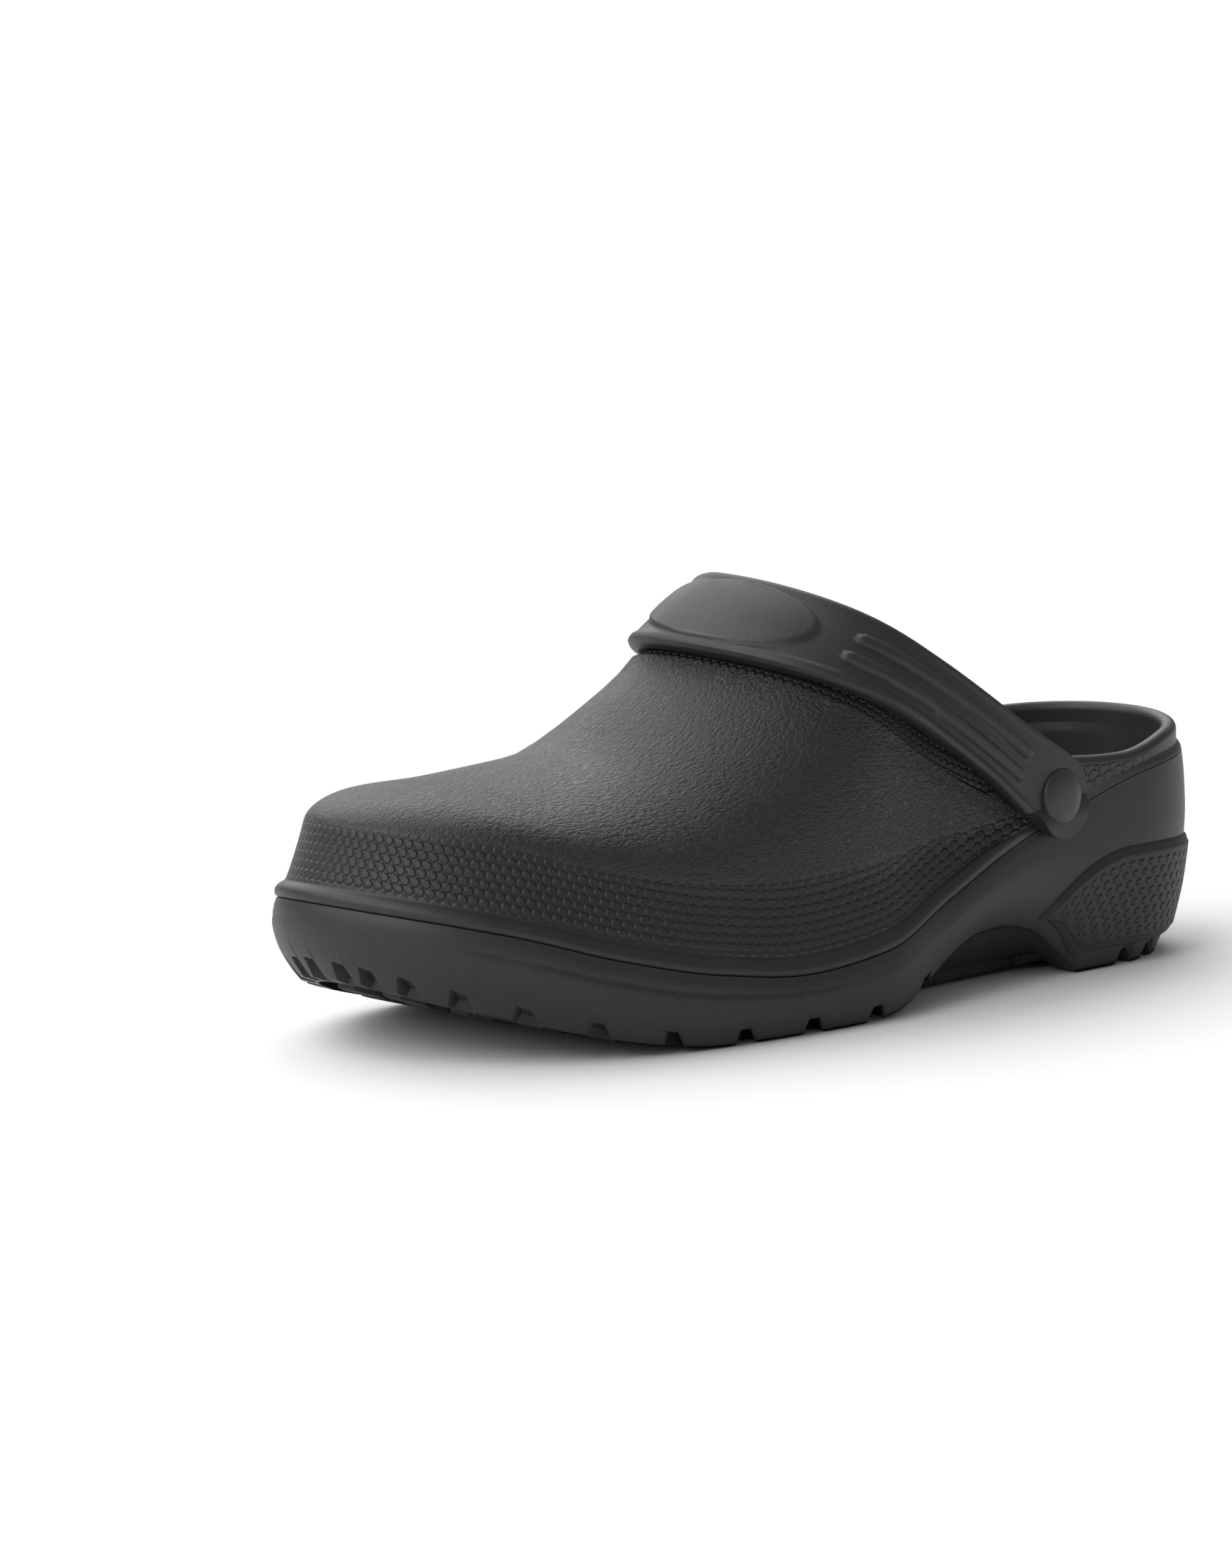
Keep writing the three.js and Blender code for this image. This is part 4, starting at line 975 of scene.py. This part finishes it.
bed_foam = Finish("insole foam", (0.016, 0.016, 0.017), 0.7, 0.35)
bed_foam.relief(0.05 * bed_foam.noise((0.8, 0.8, 0.8), 3) + 0.015 * bed_foam.noise((0.2, 0.2, 0.2), 2))
bed_foam.shade(bed_foam.noise((7, 7, 7), 3), (0.013, 0.013, 0.014), (0.02, 0.02, 0.021))
bed_points = insole_rows()
bed, used = add_piece("footbed", bed_points, ring_faces(len(bed_points), AROUND), bed_foam)
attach(bed, "root")
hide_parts("insole")

# The heel strap
# A band of the same foam, moulded flat with rolled edges, two long ribs on each side and a bare
# raised oval in the middle. It is folded forward over the instep and held by its two rivets, on which the
# real strap turns; here it is fixed with the body.
STRAP_THICK = 3.8
STRAP_REACH = 101
STRAP_TILT = math.radians(31.1)
STRAP_BOW = 2.4
STRAP_END = 10.9
STRAP_LIP = 0.5
STRAP_GAP = 0.6
RIVET_X = 80
RIVET_Z = float(band(RIVET_X)) + 2.75
RIB_HEIGHT = 1.2
RIB_WIDTH = 1.7
RIB_SPREAD = 3.2
RIB_FROM = 16
RIB_TO = 82
OVAL_LENGTH = 24.5
OVAL_WIDTH = 9.9
OVAL_RISE = 0.9
OVAL_SHIFT = 2.6
END_STATIONS = 21
ACROSS_STEPS = 96
PATCH_HALF = 17
STRAP_WIDTH = np.array([(0, 1), (0.12, 0.94), (0.3, 0.86), (0.6, 0.92), (0.85, 1.08), (1, 1.2)])
STRAP_SECTION = np.array([
    (-1, -2),
    (-0.95, 0.3),
    (-0.84, 1),
    (-0.68, 0),
    (0, 0),
    (0.72, 0),
    (0.86, 0.7),
    (0.96, 0),
    (1, -2),
])
strap_width = curve(STRAP_WIDTH)
strap_section = curve(STRAP_SECTION)


def inside_upper(p):
    """True inside the upper, or below its band line inside the outline."""
    x, y, z = p[..., 0], p[..., 1], p[..., 2]
    side = np.where(y > ridge(x), 1, -1)
    above = (side * (y - band_y(x, side)) < 0) & (z < shell_z(x, y))
    low = clamp((band(x) - z) / 3)
    below = side * (y - outline_y(x, side, mix(-inset(x), 0, low), 0, LENGTH)) < 0
    return np.where(z >= band(x), above, below)


def strap_rays(angle, across):
    """Where rays from the line between the rivets leave the upper, at an angle round the strap
    and a distance across it, found by halving."""
    reach_way = np.array([math.cos(STRAP_TILT), 0, math.sin(STRAP_TILT)])
    width_way = np.array([-math.sin(STRAP_TILT), 0, math.cos(STRAP_TILT)])
    start = np.array([RIVET_X, 0, RIVET_Z]) + width_way * np.asarray(across)[..., None]
    way = reach_way * np.cos(angle)[..., None] + np.array([0, 1, 0]) * np.sin(angle)[..., None]
    low = np.zeros(np.broadcast(angle, across).shape)
    high = low + 160
    for _ in range(30):
        middle = (low + high) / 2
        inside = inside_upper(start + way * middle[..., None])
        low = np.where(inside, middle, low)
        high = np.where(inside, high, middle)
    return start + way * low[..., None], low * np.cos(angle)


def strap_half(reach):
    end = np.sqrt(np.maximum(0, STRAP_END**2 - np.minimum(reach, 0) ** 2))
    return np.where(reach < 0, end, STRAP_END * strap_width(reach / STRAP_REACH))


def strap_stations(side):
    """Angles from the round end over the rivet to the crown, with the distance from the rivet."""
    fine = side * np.linspace(math.pi / 2, 0, 300)
    points = strap_rays(fine, np.zeros(300))[0]
    run = np.concatenate([[0], np.cumsum(np.linalg.norm(np.diff(points, axis=0), axis=1))])
    width = abs(points[0, 1])
    turn = math.asin(STRAP_END / width)
    k = np.linspace(0, 1, END_STATIONS + 1)[:-1]
    ends = side * (math.pi / 2 + turn * np.cos(k * math.pi / 2))
    wanted = np.linspace(0, run[-1], 150)
    along = np.interp(wanted, run, fine * side) * side
    return np.concatenate([ends, along]), np.concatenate([np.full(END_STATIONS, -1.0), wanted]), run[-1]


def strap_relief(run, total, across, side):
    """Ribs as capsules and the oval as a raised rim round a low dome, in mm over the strap."""
    relief = np.zeros(across.shape)
    start = RIB_FROM + RIB_WIDTH
    end = RIB_TO - RIB_WIDTH
    for offset in (-RIB_SPREAD, RIB_SPREAD):
        off = np.hypot(np.maximum(0, np.maximum(start - run, run - end)), across - offset) / RIB_WIDTH
        relief = np.maximum(relief, RIB_HEIGHT * np.sqrt(np.maximum(0, 1 - off**2.6)))
    from_crown = side * (total - run) - OVAL_SHIFT
    radius = np.hypot(from_crown / OVAL_LENGTH, across / OVAL_WIDTH)
    plate = OVAL_RISE * (1 - ease(0.97, 1.05, radius)) + 0.5 * (1 - clamp(radius) ** 2)
    return relief + plate


def strap_mesh():
    """Closed sections from end to end: outer face with its relief, round edges and inner face."""
    sides = [strap_stations(1), strap_stations(-1)]
    angle = np.concatenate([sides[0][0], sides[1][0][-2::-1]])
    run = np.concatenate([sides[0][1], sides[1][1][-2::-1]])
    side = np.concatenate([np.ones(len(sides[0][0])), -np.ones(len(sides[1][0]) - 1)])
    total = np.where(side > 0, sides[0][2], sides[1][2])
    # The upper under the strap on an even patch, with its outward normals.
    across = np.linspace(-PATCH_HALF, PATCH_HALF, 4 * PATCH_HALF + 1)
    patch, _ = strap_rays(angle[:, None], across[None, :] + 0 * angle[:, None])
    for _ in range(6):
        patch[:, 1:-1] = (patch[:, :-2] + 2 * patch[:, 1:-1] + patch[:, 2:]) / 4
    normal = unit(np.cross(np.gradient(patch, axis=0), np.gradient(patch, axis=1)))
    if normal[len(angle) // 2, 2 * PATCH_HALF, 2] < 0:
        normal = -normal
    _, reach = strap_rays(angle, 0 * angle)
    half = strap_half(reach)
    half[0] = half[-1] = 0
    bow = STRAP_BOW * np.sin(math.pi * clamp(reach / STRAP_REACH))
    w_out = np.sin(np.linspace(-math.pi / 2, math.pi / 2, ACROSS_STEPS + 1))
    w_in = np.array([0.995, 0.985, 0.97, 0.8, 0.5, 0.2, -0.2, -0.5, -0.8, -0.97, -0.985, -0.995])
    low = np.array([0.45, 0.16, 0, 0, 0, 0, 0, 0, 0, 0, 0.16, 0.45])
    w = np.concatenate([w_out, w_in])
    offset = w[None, :] * half[:, None]
    lip = STRAP_LIP * (ease(0, 4, half) * ease(4, 16, run))[:, None]
    raised = STRAP_THICK + strap_section(w_out) * lip
    raised += strap_relief(run[:, None], total[:, None], offset[:, : len(w_out)], side[:, None])
    out = STRAP_GAP + np.concatenate([raised, low * STRAP_THICK + 0 * half[:, None]], axis=1)
    place = (offset + bow[:, None] + PATCH_HALF) * 2
    i = np.clip(place.astype(int), 0, 4 * PATCH_HALF - 1)
    t = (place - i)[..., None]
    rows = np.arange(len(angle))[:, None]
    base = mix(patch[rows, i], patch[rows, i + 1], t)
    facing = unit(mix(normal[rows, i], normal[rows, i + 1], t))
    return base + facing * out[..., None]


strap_foam = Finish("strap foam", FOAM_DARK, 0.5, 0.5)
pebble = strap_foam.cells((1.1, 1.1, 1.1)).ease(0.2, 0.7)
strap_foam.relief(0.02 * pebble + 0.02 * strap_foam.noise((0.4, 0.4, 0.4), 2))
strap_foam.shade(strap_foam.noise((11, 11, 11), 3), FOAM_DARK, FOAM_LIGHT)
strap_foam.fill(strap_foam.surface["Roughness"], 0.46 + 0.1 * strap_foam.noise((5, 5, 5), 3))

strap_points = strap_mesh()
strap_faces = ring_faces(*strap_points.shape[:2], pinched=False)
strap, used = add_piece("heel_strap", strap_points, strap_faces, strap_foam, sharp=50)


def close_ends(piece):
    """Merges doubled points, which shuts pinched ends, and turns every face outwards."""
    work = bmesh.new()
    work.from_mesh(piece.data)
    bmesh.ops.remove_doubles(work, verts=work.verts, dist=1e-6)
    bmesh.ops.recalc_face_normals(work, faces=work.faces)
    work.to_mesh(piece.data)
    work.free()


close_ends(strap)


def turned_mesh(profile, side, sides=96):
    """A profile of radius and distance out of the strap's face, turned about the axis of a rivet,
    which stands square on the strap over the pivot."""
    radius, way = np.array(profile, dtype=float).T
    row = END_STATIONS if side > 0 else len(strap_points) - 1 - END_STATIONS
    middle = ACROSS_STEPS // 2
    up = strap_points[row, middle + 18] - strap_points[row, middle - 18]
    ahead = strap_points[row + 6 * side, middle] - strap_points[row - 6 * side, middle]
    axis = unit(np.cross(up, ahead))
    axis = axis * np.sign(side * axis[1])
    first = unit(np.cross(axis, [0, 0, 1]))
    second = np.cross(first, axis)
    angle = np.linspace(0, 2 * math.pi, sides, endpoint=False)[:, None]
    circle = first * np.cos(angle) + second * np.sin(angle)
    points = strap_points[row, middle] + way[:, None, None] * axis + radius[:, None, None] * circle
    return points, ring_faces(len(profile), sides, pinched=False)


RIVET_CAP = 7.6
RIVET_RING = 1.1
RIVET_SUNK = 1.7
RIVET_SHANK = 3.4
RIVET_PLAY = 0.4


def cut(piece, cutter):
    """Takes the cutter's volume out of a piece and deletes the cutter."""
    step = piece.modifiers.new("cut", "BOOLEAN")
    step.operation = "DIFFERENCE"
    step.solver = "EXACT"
    step.object = cutter
    graph = bpy.context.evaluated_depsgraph_get()
    made = bpy.data.meshes.new_from_object(piece.evaluated_get(graph))
    piece.modifiers.clear()
    old = piece.data
    piece.data = made
    bpy.data.meshes.remove(old)
    bpy.data.objects.remove(cutter)


for side in (1, -1):
    seat = -RIVET_SUNK
    ring = RIVET_CAP + RIVET_RING
    shank = RIVET_SHANK + RIVET_PLAY
    profile = [(0, -9), (shank, -9), (shank, seat), (ring, seat), (ring, 8), (0, 8)]
    points, faces = turned_mesh(profile, side)
    cutter, _ = add_piece("cutter", points, faces, strap_foam)
    close_ends(cutter)
    cut(strap, cutter)
strap.data.set_sharp_from_angle(angle=math.radians(42))
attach(strap, "root")
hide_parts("strap")

# The rivets
# Two plugs of satin plastic, pressed through strap and body from outside. Each has a low domed cap
# in a round recess of the strap, a shank, and a head that holds it inside the body.
RIVET_RISE = 1.7
RIVET_HEAD = 6.2
rivet_plastic = Finish("satin plastic", (0.018, 0.018, 0.0195), 0.42, 0.5)
rivet_plastic.relief(0.015 * rivet_plastic.noise((0.5, 0.5, 0.5), 2))
rivet_plastic.shade(rivet_plastic.noise((5, 5, 5), 3), (0.016, 0.016, 0.017), (0.022, 0.022, 0.024))
for name, node, side in (("plug_lateral", "rivet_lateral", 1), ("plug_medial", "rivet_medial", -1)):
    under = -STRAP_THICK - STRAP_GAP - WALL - 0.85
    seat = 0.3 - RIVET_SUNK
    turn = np.linspace(0, 1, 9)
    radii = RIVET_CAP * np.cos(turn * math.pi / 2) ** 0.7
    heights = 0.4 + RIVET_RISE * np.sin(turn * math.pi / 2) ** 1.2
    cap = [*zip(radii[:-1], heights[:-1]), (0, heights[-1])]
    profile = [
        (0, under - 1.8),
        (RIVET_HEAD - 0.6, under - 1.8),
        (RIVET_HEAD, under - 1.2),
        (RIVET_HEAD, under),
        (RIVET_SHANK, under),
        (RIVET_SHANK, seat),
        (RIVET_CAP - 0.2, seat),
        (RIVET_CAP, seat + 0.2),
        *cap,
    ]
    points, faces = turned_mesh(profile, side)
    plug, _ = add_piece(name, points, faces, rivet_plastic)
    close_ends(plug)
    plug.data.set_sharp_from_angle(angle=math.radians(45))
    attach(plug, "root")
    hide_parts(node)

# The floor, the light and the camera
# A white studio floor that burns out to white round a soft contact shadow, wide light from above
# on the left and from behind, a weak one low in front, and a long lens low over the toe.
FLOOR_SIZE = 30
paper = Finish("white paper", (0.86, 0.86, 0.86), 0.9, 0.2)
corner = FLOOR_SIZE * 500
sheet = np.array([[-corner, -corner, 0], [corner, -corner, 0], [corner, corner, 0], [-corner, corner, 0]])
floor, _ = add_piece("studio_floor", sheet + MIDDLE, np.array([[0, 1, 2, 3]]), paper)

AZIMUTH = math.radians(136)
ELEVATION = math.radians(8.5)
DISTANCE = 2200
AIM_RIGHT = -36.2
AIM_UP = 54.6
AIM_MIDDLE = np.array([0.29, -0.289, 0])
SENSOR = 36
FOCAL_LENGTH = 193.17
back = np.array([
    math.sin(AZIMUTH) * math.cos(ELEVATION),
    -math.cos(AZIMUTH) * math.cos(ELEVATION),
    math.sin(ELEVATION),
])
right = np.array([math.cos(AZIMUTH), math.sin(AZIMUTH), 0])
up = np.cross(back, right)
eye = AIM_MIDDLE + AIM_RIGHT * right + AIM_UP * up + DISTANCE * back
lens = bpy.data.cameras.new("camera")
lens.sensor_width = SENSOR
lens.lens = FOCAL_LENGTH
lens.clip_end = 60
camera = bpy.data.objects.new("camera", lens)
bpy.context.collection.objects.link(camera)
turn = np.eye(4)
turn[:3, :3] = np.stack([right, up, back], axis=1)
turn[:3, 3] = eye * 0.001
camera.matrix_world = Matrix(turn.tolist())
bpy.context.scene.camera = camera

world = bpy.data.worlds.new("studio")
bpy.context.scene.world = world
world.use_nodes = True
sky = world.node_tree.nodes
ambient = sky["Background"]
ambient.inputs["Color"].default_value = (1, 1, 1, 1)
ambient.inputs["Strength"].default_value = 0.3
shown = sky.new("ShaderNodeBackground")
shown.inputs["Strength"].default_value = 1.05
choose = sky.new("ShaderNodeMixShader")
path = sky.new("ShaderNodeLightPath")
links = world.node_tree.links
links.new(path.outputs["Is Camera Ray"], choose.inputs[0])
links.new(ambient.outputs[0], choose.inputs[1])
links.new(shown.outputs[0], choose.inputs[2])
links.new(choose.outputs[0], sky["World Output"].inputs[0])


def add_sun(name, right_of, above, behind, strength, spread):
    """A wide distant light, placed by how far right of, above and behind the camera's view."""
    lamp = bpy.data.lights.new(name, "SUN")
    lamp.energy = strength
    lamp.angle = math.radians(spread)
    piece = bpy.data.objects.new(name, lamp)
    toward = right * right_of + np.array([0, 0, 1]) * above - back * behind
    piece.rotation_mode = "QUATERNION"
    piece.rotation_quaternion = Vector(toward).to_track_quat("Z", "Y")
    bpy.context.collection.objects.link(piece)


add_sun("key", -0.9, 0.9, -0.35, 2.3, 70)
add_sun("back", -0.3, 1.0, 0.9, 1.9, 60)
add_sun("front", -0.5, 0.4, -1.0, 0.55, 30)
bpy.context.scene.view_settings.view_transform = "Standard"
